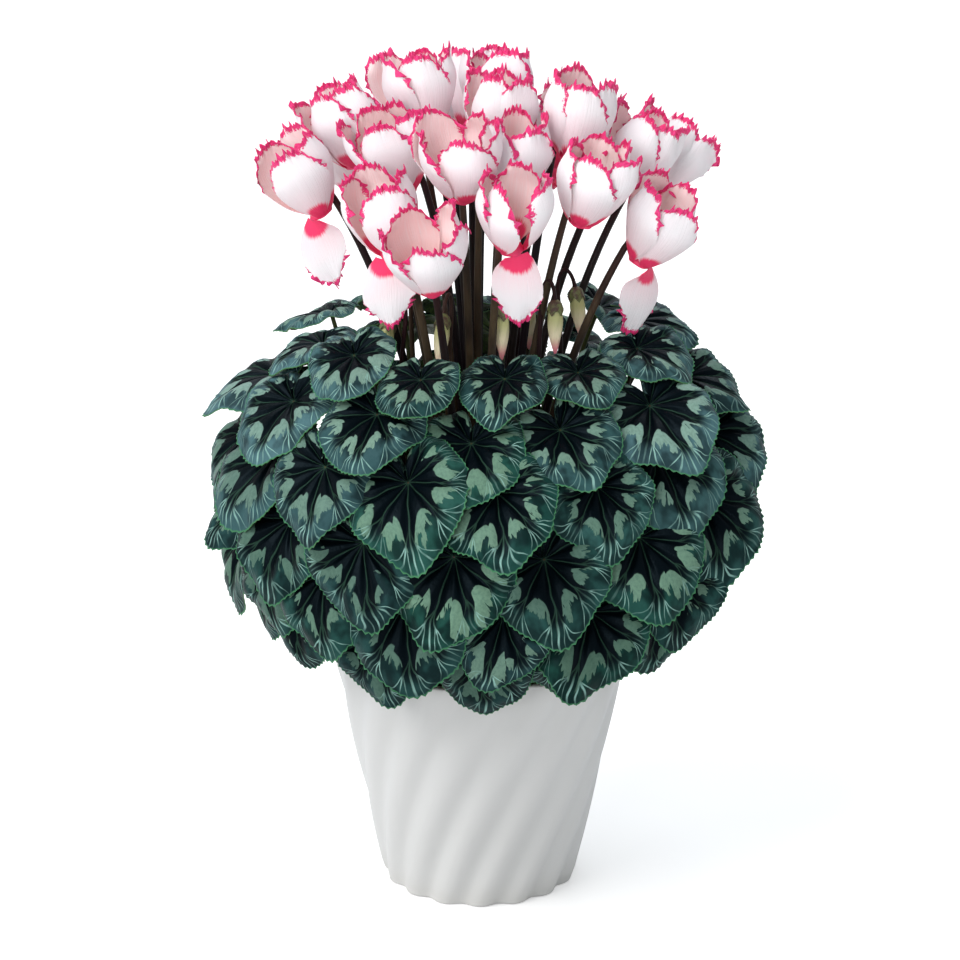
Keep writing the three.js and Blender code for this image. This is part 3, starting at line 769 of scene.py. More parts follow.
def leaf_top_material(look):
    material, s, shader = new_material(
        "marbled leaf", 0.38, Specular_IOR_Level=0.07, Specular_Tint=(0.55, 0.82, 1.0, 1.0))
    pattern, share = use_leaf_pattern(s)
    painted_sheen, fresh = s.note("painted_sheen"), s.note("fresh")
    zone = s.mix(fresh, look.outer_color, look.fresh_color)
    # Painted reflection of the sky: the outer zone turns slate blue on high leaves at the sides.
    zone = s.mix(painted_sheen, zone, look.painted_sheen_color)
    zone = s.mix(s.step(pattern["Cloud"], 0.38, 0.62, 0.70, 0.0), zone, look.center_color)
    zone = s.mix(s.scaled(pattern["Grain"], 0.35), zone, look.center_color)
    base = s.mix(pattern["Outer"], look.center_color, zone)
    silver = s.mix(s.scaled(fresh, 0.45), look.silver_color, look.green_silver_color)
    # The painted reflection of the sky lightens the silver blotches too.
    silver = s.mix(s.scaled(painted_sheen, 0.5), silver, look.painted_sheen_silver_color)
    silver = s.mix(s.step(pattern["Grain"], 0.35, 0.75, 0.0, 0.30), silver, look.outer_color)
    # Silver dimmed at random, and more on lower leaves as painted shade.
    silver = s.mix(s.scaled(s.note("dim_and_painted_shade"), 0.62), silver, look.outer_color)
    base = s.mix(pattern["Blotch"], base, silver)
    vein = s.mix(pattern["Outer"], look.inner_vein_color, look.vein_color)
    base = s.mix(s.scaled(pattern["Vein"], 0.80), base, vein)
    base = s.mix(s.step(share, 0.975, 0.995), base, look.margin_color)
    s.feed(shader.inputs["Base Color"], base)
    s.feed(shader.inputs["Roughness"], s.stretched(pattern["Grain"], 0.24, 0.24))
    height = s.math("MULTIPLY_ADD", pattern["Vein"], -0.5, s.scaled(pattern["Grain"], 0.35))
    height = s.math("ADD", height, pattern["Swell"])
    s.feed(shader.inputs["Normal"], s.bump(height, 0.0007, 0.8))
    return material


def leaf_under_material(look):
    material, s, shader = new_material("leaf underside", 0.5)
    pattern, share = use_leaf_pattern(s)
    base = s.mix(s.step(pattern["Grain"], 0.3, 0.7), look.underside_color, look.underside_dark_color)
    base = s.mix(s.scaled(pattern["Vein"], 0.6), base, look.inner_vein_color)
    s.feed(shader.inputs["Base Color"], base)
    height = s.math("ADD", pattern["Vein"], s.scaled(pattern["Grain"], 0.4))
    s.feed(shader.inputs["Normal"], s.bump(height, 0.0006, 0.8))
    return material


def leaf_edge_material(look):
    material, s, shader = new_material("leaf edge", 0.45)
    tone = s.noise(s.place(), 240.0, 2.0)
    s.feed(shader.inputs["Base Color"], s.mix(tone, look.margin_color, look.underside_color))
    s.feed(shader.inputs["Normal"], s.bump(tone, 0.0002))
    return material


def fleshy_material(name, dark, pale, red):
    """Fleshy stems: dark, paler along some of them, and redder towards the flower."""
    material, s, shader = new_material(name, 0.38, Specular_IOR_Level=0.14)
    streak = s.add("ShaderNodeMapping", {"Vector": s.place(), "Scale": (260.0, 260.0, 26.0)}).outputs[0]
    streaks = s.noise(streak, 1.0, 3.0, 0.6)
    blush = s.noise(s.place(), 24.0, 2.0)
    paler = s.math("MULTIPLY", s.note("pale"), s.step(blush, 0.25, 0.65, 0.35, 1.0))
    base = s.mix(paler, dark, pale)
    base = s.mix(s.scaled(s.note("upper"), 0.55), base, red)
    base = s.mix(s.step(streaks, 0.35, 0.75, 0.0, 0.45), base, dark)
    s.feed(shader.inputs["Base Color"], base)
    s.feed(shader.inputs["Roughness"], s.stretched(streaks, 0.25, 0.27))
    s.feed(shader.inputs["Normal"], s.bump(streaks, 0.0003, 0.6))
    return material


def petal_pattern():
    """The pattern of a petal by the shares of the way across and along it: its ragged magenta margin, the
    uneven tone in the margin, the rose patch at its root, and the fine lines along it."""
    if "petal pattern" in bpy.data.node_groups:
        return bpy.data.node_groups["petal pattern"]
    group, s, entry, leave = new_group(
        "petal pattern", ("Across", "Along", "Draw"), ("Fringe", "Ragged", "Root", "Lines", "Low"))
    across, along, own = (entry.outputs[name] for name in ("Across", "Along", "Draw"))
    lot = s.scaled(own, 43.0)
    off = s.math("ABSOLUTE", s.stretched(across, 2.0, -1.0))
    ragged = s.noise(s.vector(s.scaled(across, 34.0), s.scaled(along, 26.0), lot), 1.0, 3.0, 0.7)

    # The way in from the petal's margin, in about millimetres. Low down the fringe runs out.
    from_top = s.stretched(s.math("SUBTRACT", 1.0, along), 41.0, -0.7)
    from_side = s.scaled(s.math("SUBTRACT", 1.0, off), 15.0)
    low = s.step(along, 0.52, 0.78, 3.4, 0.0)
    margin = s.math("MINIMUM", from_top, s.math("ADD", from_side, low))
    margin = s.math("ADD", margin, s.stretched(ragged, 6.5, -3.25))

    # The rose patch is a tongue that the lines along the petal fray.
    lines = s.noise(s.vector(s.scaled(across, 60.0), s.scaled(along, 2.2), lot), 1.0, 2.0)
    tongue = s.stretched(s.math("MULTIPLY", off, off), -0.15, 0.235)
    tongue = s.math("ADD", tongue, s.stretched(lines, 0.10, -0.05))
    s.put(leave, {
        "Fringe": s.step(margin, 1.9, 2.6, 1.0, 0.0),
        "Ragged": ragged,
        "Root": s.step(s.math("SUBTRACT", along, tongue), -0.03, 0.045, 1.0, 0.0),
        "Lines": lines,
        "Low": s.step(along, 0.10, 0.80, 1.0, 0.0),
    })
    return group


def petal_material(look, name, color, blush_color, least_blush):
    """One side of the petals, with more or less blush."""
    material, s, shader = new_material(
        name, 0.55, Specular_IOR_Level=0.25, Subsurface_Weight=0.20,
        Subsurface_Radius=(0.004, 0.0025, 0.0028), Subsurface_Scale=1.0)
    across, along = s.uv()
    node = s.add("ShaderNodeGroup", node_tree=petal_pattern())
    s.put(node, {"Across": across, "Along": along, "Draw": s.note("draw")})
    pattern = node.outputs
    blush = s.math("MULTIPLY", pattern["Low"], s.stretched(pattern["Lines"], 0.6, 0.5))
    blush = s.math("MAXIMUM", blush, s.math("MULTIPLY", pattern["Lines"], 2 * least_blush), clamp=True)
    base = s.mix(blush, color, blush_color)
    base = s.mix(pattern["Root"], base, look.root_color)
    fringe = s.mix(s.step(pattern["Ragged"], 0.35, 0.65), look.fringe_color, look.deep_fringe_color)
    base = s.mix(pattern["Fringe"], base, fringe)
    s.feed(shader.inputs["Base Color"], base)
    height = s.math("ADD", pattern["Lines"], s.math("MULTIPLY", pattern["Fringe"], pattern["Ragged"]))
    s.feed(shader.inputs["Normal"], s.bump(height, 0.0005, 0.6))
    return material


def mouth_material(look):
    material, s, shader = new_material("flower mouth", 0.5)
    tone = s.noise(s.place(), 300.0, 2.0)
    s.feed(shader.inputs["Base Color"], s.mix(tone, look.root_color, look.deep_fringe_color))
    s.feed(shader.inputs["Normal"], s.bump(tone, 0.0003))
    return material


def bud_material(look):
    """A furled bud: cream, with green towards its calyx and along its folds, and a blush towards its tip."""
    material, s, shader = new_material("furled bud", 0.5, Specular_IOR_Level=0.3)
    across, along = s.uv()
    fold = s.noise(s.vector(s.scaled(across, 26.0), s.scaled(along, 5.0)), 1.0, 2.0)
    base = s.mix(s.step(along, 0.15, 0.6, 0.9, 0.0), look.bud_color, look.bud_green_color)
    tip = s.math("MULTIPLY", s.step(along, 0.55, 0.95), s.scaled(s.note("blush"), 0.8))
    base = s.mix(tip, base, look.fringe_color)
    base = s.mix(s.step(fold, 0.5, 0.8, 0.0, 0.35), base, look.bud_green_color)
    s.feed(shader.inputs["Base Color"], base)
    s.feed(shader.inputs["Normal"], s.bump(fold, 0.0005, 0.6))
    return material


def calyx_material(look):
    material, s, shader = new_material("calyx", 0.5)
    tone = s.noise(s.place(), 380.0, 3.0, 0.6)
    base = s.mix(s.step(tone, 0.35, 0.65), look.calyx_color, look.calyx_brown_color)
    s.feed(shader.inputs["Base Color"], base)
    s.feed(shader.inputs["Normal"], s.bump(tone, 0.0004))
    return material


def pot_material(look):
    material, s, shader = new_material("white pot", 0.3, Coat_Weight=0.25, Coat_Roughness=0.18)
    cloud = s.noise(s.place(), 9.0, 3.0)
    skin = s.noise(s.place(), 420.0, 2.0)
    height = s.add("ShaderNodeSeparateXYZ", {"Vector": s.place()}).outputs["Z"]
    dust = s.math("MULTIPLY", s.step(height, 0.0, 0.02, 0.35, 0.0), s.noise(s.place(), 60.0, 4.0, 0.7))
    base = s.mix(s.step(cloud, 0.3, 0.7, 0.0, 0.5), look.color, look.shade_color)
    s.feed(shader.inputs["Base Color"], s.mix(dust, base, look.dust_color))
    s.feed(shader.inputs["Roughness"], s.stretched(cloud, 0.12, 0.24))
    s.feed(shader.inputs["Normal"], s.bump(skin, 0.00006, 0.35))
    return material


def soil_material(look):
    material, s, shader = new_material("peat", 0.95)
    crumbs = s.noise(s.place(), 420.0, 4.0, 0.7)
    fibres = s.noise(s.place(), 90.0, 3.0)
    base = s.mix(s.step(crumbs, 0.35, 0.7), look.soil_dark_color, look.soil_color)
    s.feed(shader.inputs["Base Color"], s.mix(s.step(fibres, 0.62, 0.75), base, look.fibre_color))
    s.feed(shader.inputs["Normal"], s.bump(crumbs, 0.0012))
    return material


def tuber_material(look):
    material, s, shader = new_material("cork", 0.85)
    bark = s.noise(s.place(), 160.0, 4.0, 0.65)
    base = s.mix(s.step(bark, 0.35, 0.65), look.cork_dark_color, look.cork_color)
    s.feed(shader.inputs["Base Color"], base)
    s.feed(shader.inputs["Normal"], s.bump(bark, 0.0012))
    return material


# Settings.
def number_property(name, description, default, unit="NONE"):
    return bpy.props.FloatProperty(name=name, description=description, default=default, unit=unit, min=0.0)


def length_property(name, description, default):
    return number_property(name, description, default, "LENGTH")


def color_property(name, description, default):
    return bpy.props.FloatVectorProperty(
        name=name, description=description, default=default, size=3, subtype="COLOR", min=0.0, max=1.0)


class PotSettings(bpy.types.PropertyGroup):
    flutes: bpy.props.IntProperty(
        name="Flutes", description="How many flutes climb round the pot", default=16, min=3)
    flute_depth: length_property("Flute Depth", "How deep the hollow of a flute is", 0.0029)
    color: color_property("Color", "The pot's white", (0.70, 0.70, 0.69))
    shade_color: color_property("Shade", "The faint clouds in the white", (0.68, 0.68, 0.665))
    dust_color: color_property("Dust", "Dust round the foot", (0.52, 0.49, 0.43))


class SoilSettings(bpy.types.PropertyGroup):
    crumb_height: length_property("Crumb Height", "How much the peat's surface rises and falls", 0.0016)
    soil_color: color_property("Peat", "The peat", (0.050, 0.032, 0.020))
    soil_dark_color: color_property("Dark Peat", "Between the crumbs", (0.012, 0.008, 0.006))
    fibre_color: color_property("Fibre", "Fibres in the peat", (0.16, 0.10, 0.055))
    cork_color: color_property("Cork", "The tuber's skin", (0.16, 0.10, 0.062))
    cork_dark_color: color_property("Dark Cork", "Cracks in the tuber's skin", (0.045, 0.028, 0.019))


class StemSettings(bpy.types.PropertyGroup):
    dark_color: color_property("Dark", "The dark purple-brown stems", (0.0050, 0.0026, 0.0052))
    pale_color: color_property("Pale", "The olive-tan side of the paler stems", (0.085, 0.062, 0.034))
    red_color: color_property("Red", "The stems near their flowers", (0.045, 0.014, 0.015))
    calyx_color: color_property("Calyx", "The calyx", (0.15, 0.19, 0.060))
    calyx_brown_color: color_property("Calyx Brown", "The calyx's brown marks", (0.075, 0.040, 0.028))
    stalk_color: color_property("Stalks", "The leaf stalks", (0.030, 0.018, 0.013))


class LeafSettings(bpy.types.PropertyGroup):
    thickness: length_property("Thickness", "How thick a blade is", 0.00045)
    tooth: number_property("Teeth", "How far the teeth stand out, as a share of the leaf", 0.013)
    center_color: color_property("Center", "The dark middle of the leaf", (0.0009, 0.0026, 0.0040))
    outer_color: color_property("Outer Zone", "Outside the silver blotches", (0.010, 0.042, 0.040))
    fresh_color: color_property("Fresh", "The outer zone of young leaves", (0.014, 0.095, 0.058))
    # Painted reflection of the sky, on the outer zone of high leaves at the sides.
    painted_sheen_color: color_property("Slate", "The outer zone of leaves that face the sky", (0.085, 0.180, 0.200))
    silver_color: color_property("Silver", "The silver blotches", (0.160, 0.275, 0.200))
    green_silver_color: color_property("Green Silver", "The blotches of young leaves", (0.115, 0.250, 0.135))
    # Painted reflection of the sky, on the blotches of the same leaves.
    painted_sheen_silver_color: color_property("Slate Silver", "The blotches that face the sky", (0.28, 0.42, 0.40))
    vein_color: color_property("Veins", "The veins outside the blotches", (0.290, 0.520, 0.460))
    inner_vein_color: color_property("Inner Veins", "The veins in the dark middle", (0.022, 0.055, 0.036))
    margin_color: color_property("Margin", "The bright edge", (0.060, 0.205, 0.095))
    underside_color: color_property("Underside", "The back of the leaf", (0.110, 0.190, 0.045))
    underside_dark_color: color_property("Dark Underside", "Darker parts of the back", (0.060, 0.085, 0.035))


class FlowerSettings(bpy.types.PropertyGroup):
    petal_thickness: length_property("Petal Thickness", "How thick a petal is", 0.00045)
    petal_length: length_property("Petal Length", "From its root to its fringe", 0.0428)
    petal_width: length_property("Petal Width", "Half of a petal's widest part", 0.0164)
    ruffle: length_property("Ruffle", "How far the fringe waves in and out", 0.0014)
    jag: length_property("Jag", "How far the teeth of the fringe stand up", 0.0038)
    petal_color: color_property("Petal", "The white of the petals", (0.87, 0.835, 0.86))
    blush_color: color_property("Blush", "The blush low on the petals", (0.97, 0.66, 0.71))
    inside_color: color_property("Inside", "The insides of the petals", (0.95, 0.82, 0.82))
    inside_blush_color: color_property("Inside Blush", "The blush inside the petals", (0.95, 0.53, 0.50))
    fringe_color: color_property("Fringe", "The magenta margin", (0.82, 0.045, 0.215))
    deep_fringe_color: color_property("Deep Fringe", "Darker parts of the margin", (0.64, 0.018, 0.115))
    root_color: color_property("Root", "The rose patch at a petal's root", (0.90, 0.036, 0.130))
    bud_color: color_property("Bud", "The furled buds", (0.80, 0.72, 0.50))
    bud_green_color: color_property("Bud Green", "The green of the buds", (0.42, 0.44, 0.18))


class StudioSettings(bpy.types.PropertyGroup):
    aim_height: length_property("Aim Height", "The height that the camera looks at", 0.222)
    distance: length_property("Camera Distance", "From the camera to the plant's middle", 1.55)
    field: length_property("Field", "The width of the picture at the plant's middle", 0.504)
    elevation: number_property("Elevation", "How far the camera looks down", math.radians(18), "ROTATION")
    floor_size: length_property("Floor Size", "The floor's width", 30.0)
    floor_color: color_property("Floor", "The pale floor", (0.86, 0.86, 0.86))
    floor_glow: number_property("Floor Glow", "How much paler the floor is seen", 0.38)
    sun_strength: number_property("Main Light", "The strength of the main light", 2.0)
    front_power: number_property("Front Light", "The power of the light on the flowers", 0.28)
    top_power: number_property("Top Light", "The power of the light above and behind", 9.0)
    world_strength: number_property("Surround", "The strength of the light from all round", 0.53)


# The pot.
def pot_radius(height):
    return POT_BASE_RADIUS + height / POT_HEIGHT * (POT_RIM_RADIUS - POT_BASE_RADIUS)


def extrude_ring(radius_ratio, rise):
    """Extrudes the selected ring, then moves it up and makes it wider or narrower."""
    bpy.ops.mesh.extrude_edges_move(TRANSFORM_OT_translate={"value": (0, 0, rise)})
    bpy.ops.transform.resize(value=(radius_ratio, radius_ratio, 1), center_override=(0, 0, 0))


def quarter_round():
    """The sines and cosines of the steps round a rounded corner."""
    turns = [math.pi / 2 * step / ROUNDING_ROWS for step in range(1, ROUNDING_ROWS + 1)]
    return [(math.sin(turn), math.cos(turn)) for turn in turns]


def pot_profile():
    """Rings of the pot from under its floor, up the outside, over the rounded rim and down the inside:
    radius, height, and how much of the flutes shows there."""
    rings = [(DISC_RADIUS, 0.0, 0.0), (pot_radius(0) - 2 * POT_FOOT, 0.0, 0.8)]
    for sine, cosine in quarter_round():
        rings.append((pot_radius(0) - POT_FOOT + POT_FOOT * sine * 0.98, POT_FOOT * (1 - cosine), 1.0))
    for step in range(1, WALL_ROWS + 1):
        height = POT_FOOT + (POT_HEIGHT - POT_FOOT - POT_LIP) * step / WALL_ROWS
        rings.append((pot_radius(height), height, 1.0))
    for sine, cosine in quarter_round():
        height = POT_HEIGHT - POT_LIP + POT_LIP * sine
        rings.append((pot_radius(height) - POT_LIP * (1 - cosine), height, 1.0))
    inside = POT_WALL + FLUTE_DEPTH
    rings.append((pot_radius(POT_HEIGHT) - inside + POT_LIP, POT_HEIGHT, 0.15))
    rings.append((pot_radius(POT_HEIGHT) - inside, POT_HEIGHT - POT_LIP, 0.0))
    rings.append((pot_radius(SOIL_TOP) - inside, SOIL_TOP, 0.0))
    rings.append((pot_radius(POT_FLOOR) - inside, POT_FLOOR, 0.0))
    rings.append((DISC_RADIUS, POT_FLOOR, 0.0))
    return rings


class CYCLAMEN_OT_pot(bpy.types.Operator):
    """Add the white pot with its spiral flutes, rounded rim and drain holes"""

    bl_idname = "cyclamen.pot"
    bl_label = "Fluted Pot"

    def execute(self, context):
        look = context.scene.cyclamen_pot
        rings = pot_profile()
        deselect()
        bpy.ops.mesh.primitive_circle_add(vertices=POT_CORNERS, radius=rings[0][0], fill_type="NOTHING")
        pot = context.object
        bpy.ops.object.mode_set(mode="EDIT")
        bpy.ops.mesh.select_mode(type="EDGE")
        for (radius, height, _), (next_radius, next_height, _) in zip(rings, rings[1:]):
            extrude_ring(next_radius / radius, next_height - height)
        bpy.ops.object.mode_set(mode="OBJECT")
        points = corners(pot)
        carved = np.repeat([ring[2] for ring in rings], POT_CORNERS)
        turn = np.arctan2(points[:, 1], points[:, 0])
        radius = np.hypot(points[:, 0], points[:, 1])
        wave = 0.5 - 0.5 * np.cos(look.flutes * (turn - FLUTE_TURN * points[:, 2] / POT_HEIGHT))
        radius = radius - look.flute_depth * carved * wave**FLUTE_SHARPNESS
        move_corners(pot, turned(radius, turn, points[:, 2]))
        bpy.ops.object.mode_set(mode="EDIT")
        bpy.ops.mesh.select_all(action="DESELECT")
        bpy.ops.mesh.select_non_manifold()
        bpy.ops.mesh.bridge_edge_loops()
        bpy.ops.mesh.select_all(action="SELECT")
        bpy.ops.mesh.normals_make_consistent(inside=False)
        bpy.ops.object.mode_set(mode="OBJECT")
        pot = join("fluted_pot", pot, self.floor())
        merge(outwards=False)
        pot.data.materials.append(pot_material(look))
        shade(pot, 50)
        finished(pot, "pot", "pot")
        return {"FINISHED"}

    def floor(self):
        """The middle of the floor, with its drain holes cut out."""
        deselect()
        bpy.ops.mesh.primitive_cylinder_add(
            vertices=POT_CORNERS, radius=DISC_RADIUS + DISC_OVERLAP, depth=POT_FLOOR,
            location=(0, 0, POT_FLOOR / 2))
        floor = bpy.context.object
        bpy.ops.object.transform_apply(location=True, rotation=True, scale=True)
        cutters = []
        for hole in range(DRAIN_HOLES):
            place = around(DRAIN_RING, hole * 360 / DRAIN_HOLES, POT_FLOOR / 2)
            deselect()
            bpy.ops.mesh.primitive_cylinder_add(
                vertices=32, radius=DRAIN_RADIUS, depth=3 * POT_FLOOR, location=place)
            cutters.append(bpy.context.object)
        cutter = join("drain_cutter", *cutters)
        select(floor)
        cut = floor.modifiers.new("holes", "BOOLEAN")
        cut.operation = "DIFFERENCE"
        cut.object = cutter
        bpy.ops.object.modifier_apply(modifier=cut.name)
        discard(cutter)
        return floor


# The peat and the tuber.
class CYCLAMEN_OT_soil(bpy.types.Operator):
    """Add the crumbly peat, and give the tuber its corky skin"""

    bl_idname = "cyclamen.soil"
    bl_label = "Peat and Tuber"

    def execute(self, context):
        look = context.scene.cyclamen_soil
        low = POT_FLOOR + CLEARANCE
        inset = POT_WALL + FLUTE_DEPTH + CLEARANCE + SOIL_GAP
        bottom = pot_radius(low) - inset
        top = pot_radius(SOIL_TOP) - inset

        def place(turn, along):
            under = along < SOIL_UNDERSIDE
            wall = smooth_step(SOIL_UNDERSIDE, SOIL_WALL, along)
            inward = (along - SOIL_WALL) / (1 - SOIL_WALL)
            radius = np.where(under, bottom * along / SOIL_UNDERSIDE, bottom + (top - bottom) * wall)
            radius = np.where(along > SOIL_WALL, top * (1 - inward), radius)
            height = np.where(under, low, low + (SOIL_TOP - low) * wall)
            share = radius / top
            rough = self.crumbs(radius, turn) * (share < SOIL_SMOOTH_RIM)
            crown = SOIL_CROWN * (1 - share * share) + look.crumb_height * 1.8 * rough
            crown = np.where(share < UNDER_TUBER, np.minimum(crown, UNDER_TUBER_HEIGHT), crown)
            return turned(radius, turn, height + np.where(along >= SOIL_WALL, crown, 0))

        soil = rolled("peat_soil", SOIL_COLUMNS, SOIL_ROWS, place)
        soil.data.materials.append(soil_material(look))
        shade(soil, 35)
        finished(soil, "soil", "soil")
        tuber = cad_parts["tuber"]
        cork = tuber_material(look)
        if tuber.material_slots:
            tuber.material_slots[0].material = cork
        else:
            tuber.data.materials.append(cork)
        return {"FINISHED"}

    def crumbs(self, radius, turn):
        """How the peat's top rises and falls, from -1 to 1: waves that cross it in all directions."""
        rough = np.zeros_like(turn)
        for item in range(SOIL_WAVES):
            x = radius * np.cos(turn - 2 * math.pi * chance(item, 51))
            pitch = 90 + 620 * chance(item, 52)
            rough += np.sin(x * pitch + FULL_WAVE * chance(item, 53)) / SOIL_WAVES
        return rough


# Stems.
def stem_tube(path, radii, sides=STEM_SIDES):
    """A closed tube along a path, with its ends drawn to a point."""
    path = [path[0], *path, path[-1]]
    nudge = np.array(path[1]) - np.array(path[2])
    path[0] = np.array(path[1]) + nudge * 0.02
    path[-1] = np.array(path[-2]) + (np.array(path[-2]) - np.array(path[-3])) * 0.02
    radii = [0.0, *radii, 0.0]
    return rolled("tube", sides, len(path) - 1, functools.partial(tube_points, path, radii))


def hooked_path(item, root, lean, hook):
    """The points up a stem, and those over its hook and down into its calyx."""
    x, z = hook[0]
    local = [item["basis"] @ Vector((px, 0, pz)) for px, pz in ((x - lean, z - STEM_STRAIGHT), (x, z))]
    rise = bezier([root, *local], np.linspace(0, 1, RISE_POINTS))
    bend = [item["basis"] @ Vector((px, 0, pz)) for px, pz in ((x, z - HOOK_OVERLAP), *hook[1:])]
    return rise, bezier(bend, np.linspace(HOOK_START, 1, HOOK_POINTS))


def calyx_cup(item, top_radius, low_radius, low, height, lobes):
    """The green cup over a flower or bud, with five pointed lobes that reach a little lower."""

    def place(turn, along):
        inside = along > CUP_OUTSIDE
        down = np.where(inside, (1 - along) / (1 - CUP_OUTSIDE), along / CUP_OUTSIDE)
        radius = top_radius * np.sqrt(np.clip(down * 2.2, 0, 1)) + (low_radius - top_radius) * down
        radius = np.where(inside, radius - CUP_WALL, radius)
        radius = np.clip(radius, 0, None) * (along > 0) * (along < 1)
        lobe = np.abs(((turn * PETALS / (2 * math.pi)) % 1) - 0.5) * 2
        drop = height * down + lobes * lobe * smooth_step(0.5, 1.0, down)
        z = low + height - drop - np.where(inside, CUP_ROOF * (1 - down), 0)
        return placed(turned(radius, turn, z), item["basis"])

    return rolled("calyx", CUP_SIDES, CUP_ROWS, place)


class CYCLAMEN_OT_stems(bpy.types.Operator):
    """Add the floral trunk with every hooked stem and its calyx"""

    bl_idname = "cyclamen.stems"
    bl_label = "Hooked Stems"

    def execute(self, context):
        look = context.scene.cyclamen_stem
        stems, cups = [self.trunk()], []
        floor = TUBER_TOP + TRUNK_HEIGHT - STEM_SUNK
        for bloom in bloom_places():
            root = around(STEM_SPREAD * bloom["distance"], bloom["turn"], floor)
            stems.append(self.stem(bloom, root, 0, BLOOM_HOOK, STEM_RADIUS))
            cups.append(calyx_cup(bloom, **BLOOM_CUP))
        for bud in bud_places():
            root = around(TRUNK_RADIUS - 2 * STEM_SUNK, bud["turn"], floor)
            stems.append(self.stem(bud, root, BUD_STEM_LEAN, BUD_HOOK, STEM_RADIUS * HOOK_SHARE))
            cups.append(calyx_cup(bud, **BUD_CUP))
        fleshy = fleshy_material("purple stem", look.dark_color, look.pale_color, look.red_color)
        for stem in stems:
            stem.data.materials.append(fleshy)
        green = calyx_material(look)
        for cup in cups:
            cup.data.materials.append(green)
            note(cup, pale=0.0, upper=0.0)
        piece = join("hooked_stems", *stems, *cups)
        shade(piece, 60)
        finished(piece, "stem", "flower_stems")
        return {"FINISHED"}

    def stem(self, item, root, lean, hook, radius):
        rise, bend = hooked_path(item, root, lean, hook)
        path = [*rise, *bend]
        shares = np.linspace(0, 1, len(path))
        narrow = smooth_step(0.35, 0.75, shares)
        radii = radius * (1.02 - (1 - HOOK_SHARE) * narrow)
        radii = radii + radius * 0.25 * smooth_step(0.95, 1.0, shares)
        stem = stem_tube(path, radii)
        lot = item["lot"]
        pale = PALE_TONE if chance(lot, 61) > DARK_STEMS else DARK_TONE * chance(lot, 62)
        bend_height = rise[-1][2]
        upper = smooth_step(bend_height - 0.05, bend_height + 0.015, corners(stem)[:, 2])
        note(stem, pale=pale, upper=upper)
        return stem

    def trunk(self):
        """The short trunk on the tuber's crown, ridged where the stems leave it."""

        def place(turn, along):
            width, rise = profile(along, TRUNK_WIDTHS, TRUNK_RISES)
            radius = TRUNK_RADIUS * width * (1 - 0.05 * np.cos(TRUNK_RIDGES * turn))
            return turned(radius, turn, TUBER_TOP + CLEARANCE + rise * (TRUNK_HEIGHT - CLEARANCE))

        trunk = rolled("trunk", TRUNK_SIDES, len(TRUNK_WIDTHS) - 1, place)
        note(trunk, pale=0.25, upper=0.0)
        return trunk


# Leaves.
def margin_radius(angle):
    """How far the margin is from the stalk, as a share of the leaf's length: two lobes with a notch between
    them behind the stalk, and a short point in front."""
    notch = NOTCH_DEPTH * np.exp(-(((math.pi - np.abs(angle)) / NOTCH_WIDTH) ** 2))
    tip = TIP_LENGTH * np.exp(-((angle / TIP_WIDTH) ** 2))
    return LEAF_MIDDLE + LEAF_FORWARD * np.cos(angle) + tip - notch


def leaf_blank():
    """One flat leaf as a round grid: its rings lie closer together towards the margin."""

    def crowded(share):
        return np.sin(share * math.pi / 2)

    def place(turn, along):
        share = crowded(along)
        return np.column_stack((-share * np.sin(turn), -share * np.cos(turn), np.zeros_like(turn)))

    blank = rolled("leaf_blank", LEAF_SPOKES, LEAF_RINGS, place, shut=False)
    crowd_pattern(blank, crowded)
    return blank


def blade_form(leaf, share, angle):
    """How far from its stalk and how high a blade is in the frame, by the share of the way to its margin
    and the angle off its tip."""
    radius = share * margin_radius(angle) * leaf["length"]
    wave = LEAF_WAVE * share**2 * np.cos(4 * angle + FULL_WAVE * chance(leaf["lot"], 8))
    bend = LEAF_DIP * (share * np.maximum(0, np.cos(angle))) ** 2
    return radius, leaf["length"] * (LEAF_FUNNEL * np.sin(2.3 * share) + wave - bend)


def blade_points(radius, angle, height):
    return np.column_stack((LEAF_NARROWNESS * radius * np.sin(angle), radius * np.cos(angle), height))


def blade(blank, leaf, tooth):
    """A copy of the blank, shaped and put in its place."""
    flat = corners(blank)
    share = np.hypot(flat[:, 0], flat[:, 1])
    angle = np.arctan2(flat[:, 0], flat[:, 1])
    lot = leaf["lot"]
    phases = [2 * math.pi * chance(lot, trait) for trait in range(70, 75)]
    radius, height = blade_form(leaf, share, angle)
    bulge = sum(size * np.cos(count * angle + phase) for (size, count), phase in zip(LEAF_BULGES, phases))
    radius = radius * (LEAF_GROWTH + share**2 * bulge)
    spoke = np.rint((angle / (2 * math.pi)) * LEAF_SPOKES).astype(int)
    uneven = np.array([0.5 + chance(lot * 150 + k, 71) for k in range(LEAF_SPOKES)])[spoke % LEAF_SPOKES]
    rim = smooth_step(0.97, 1.0, share)
    radius = radius * (1 + rim * tooth * np.where(spoke % 2, -1, 1) * uneven)
    ripple = sum(size * share**power * np.cos(count * angle + phase)
                 for (size, power, count), phase in zip(LEAF_RIPPLES, phases[len(LEAF_BULGES):]))
    cell = angle / VEIN_SPACING
    off = np.abs(cell - np.rint(cell))
    puff = LEAF_PUFF * np.sin(math.pi * np.clip(share, 0, 1)) * (smooth_step(0.0, 0.35, off) - 0.5)
    curl = -LEAF_CURL * smooth_step(CURL_START, 1.0, share)
    height = height + leaf["length"] * (ripple + puff + curl)
    piece = copied(blank, "blade")
    move_corners(piece, placed(blade_points(radius, angle, height), leaf["basis"]))
    note(piece, **leaf_tones(leaf), pale=0.0, upper=0.0)
    return piece


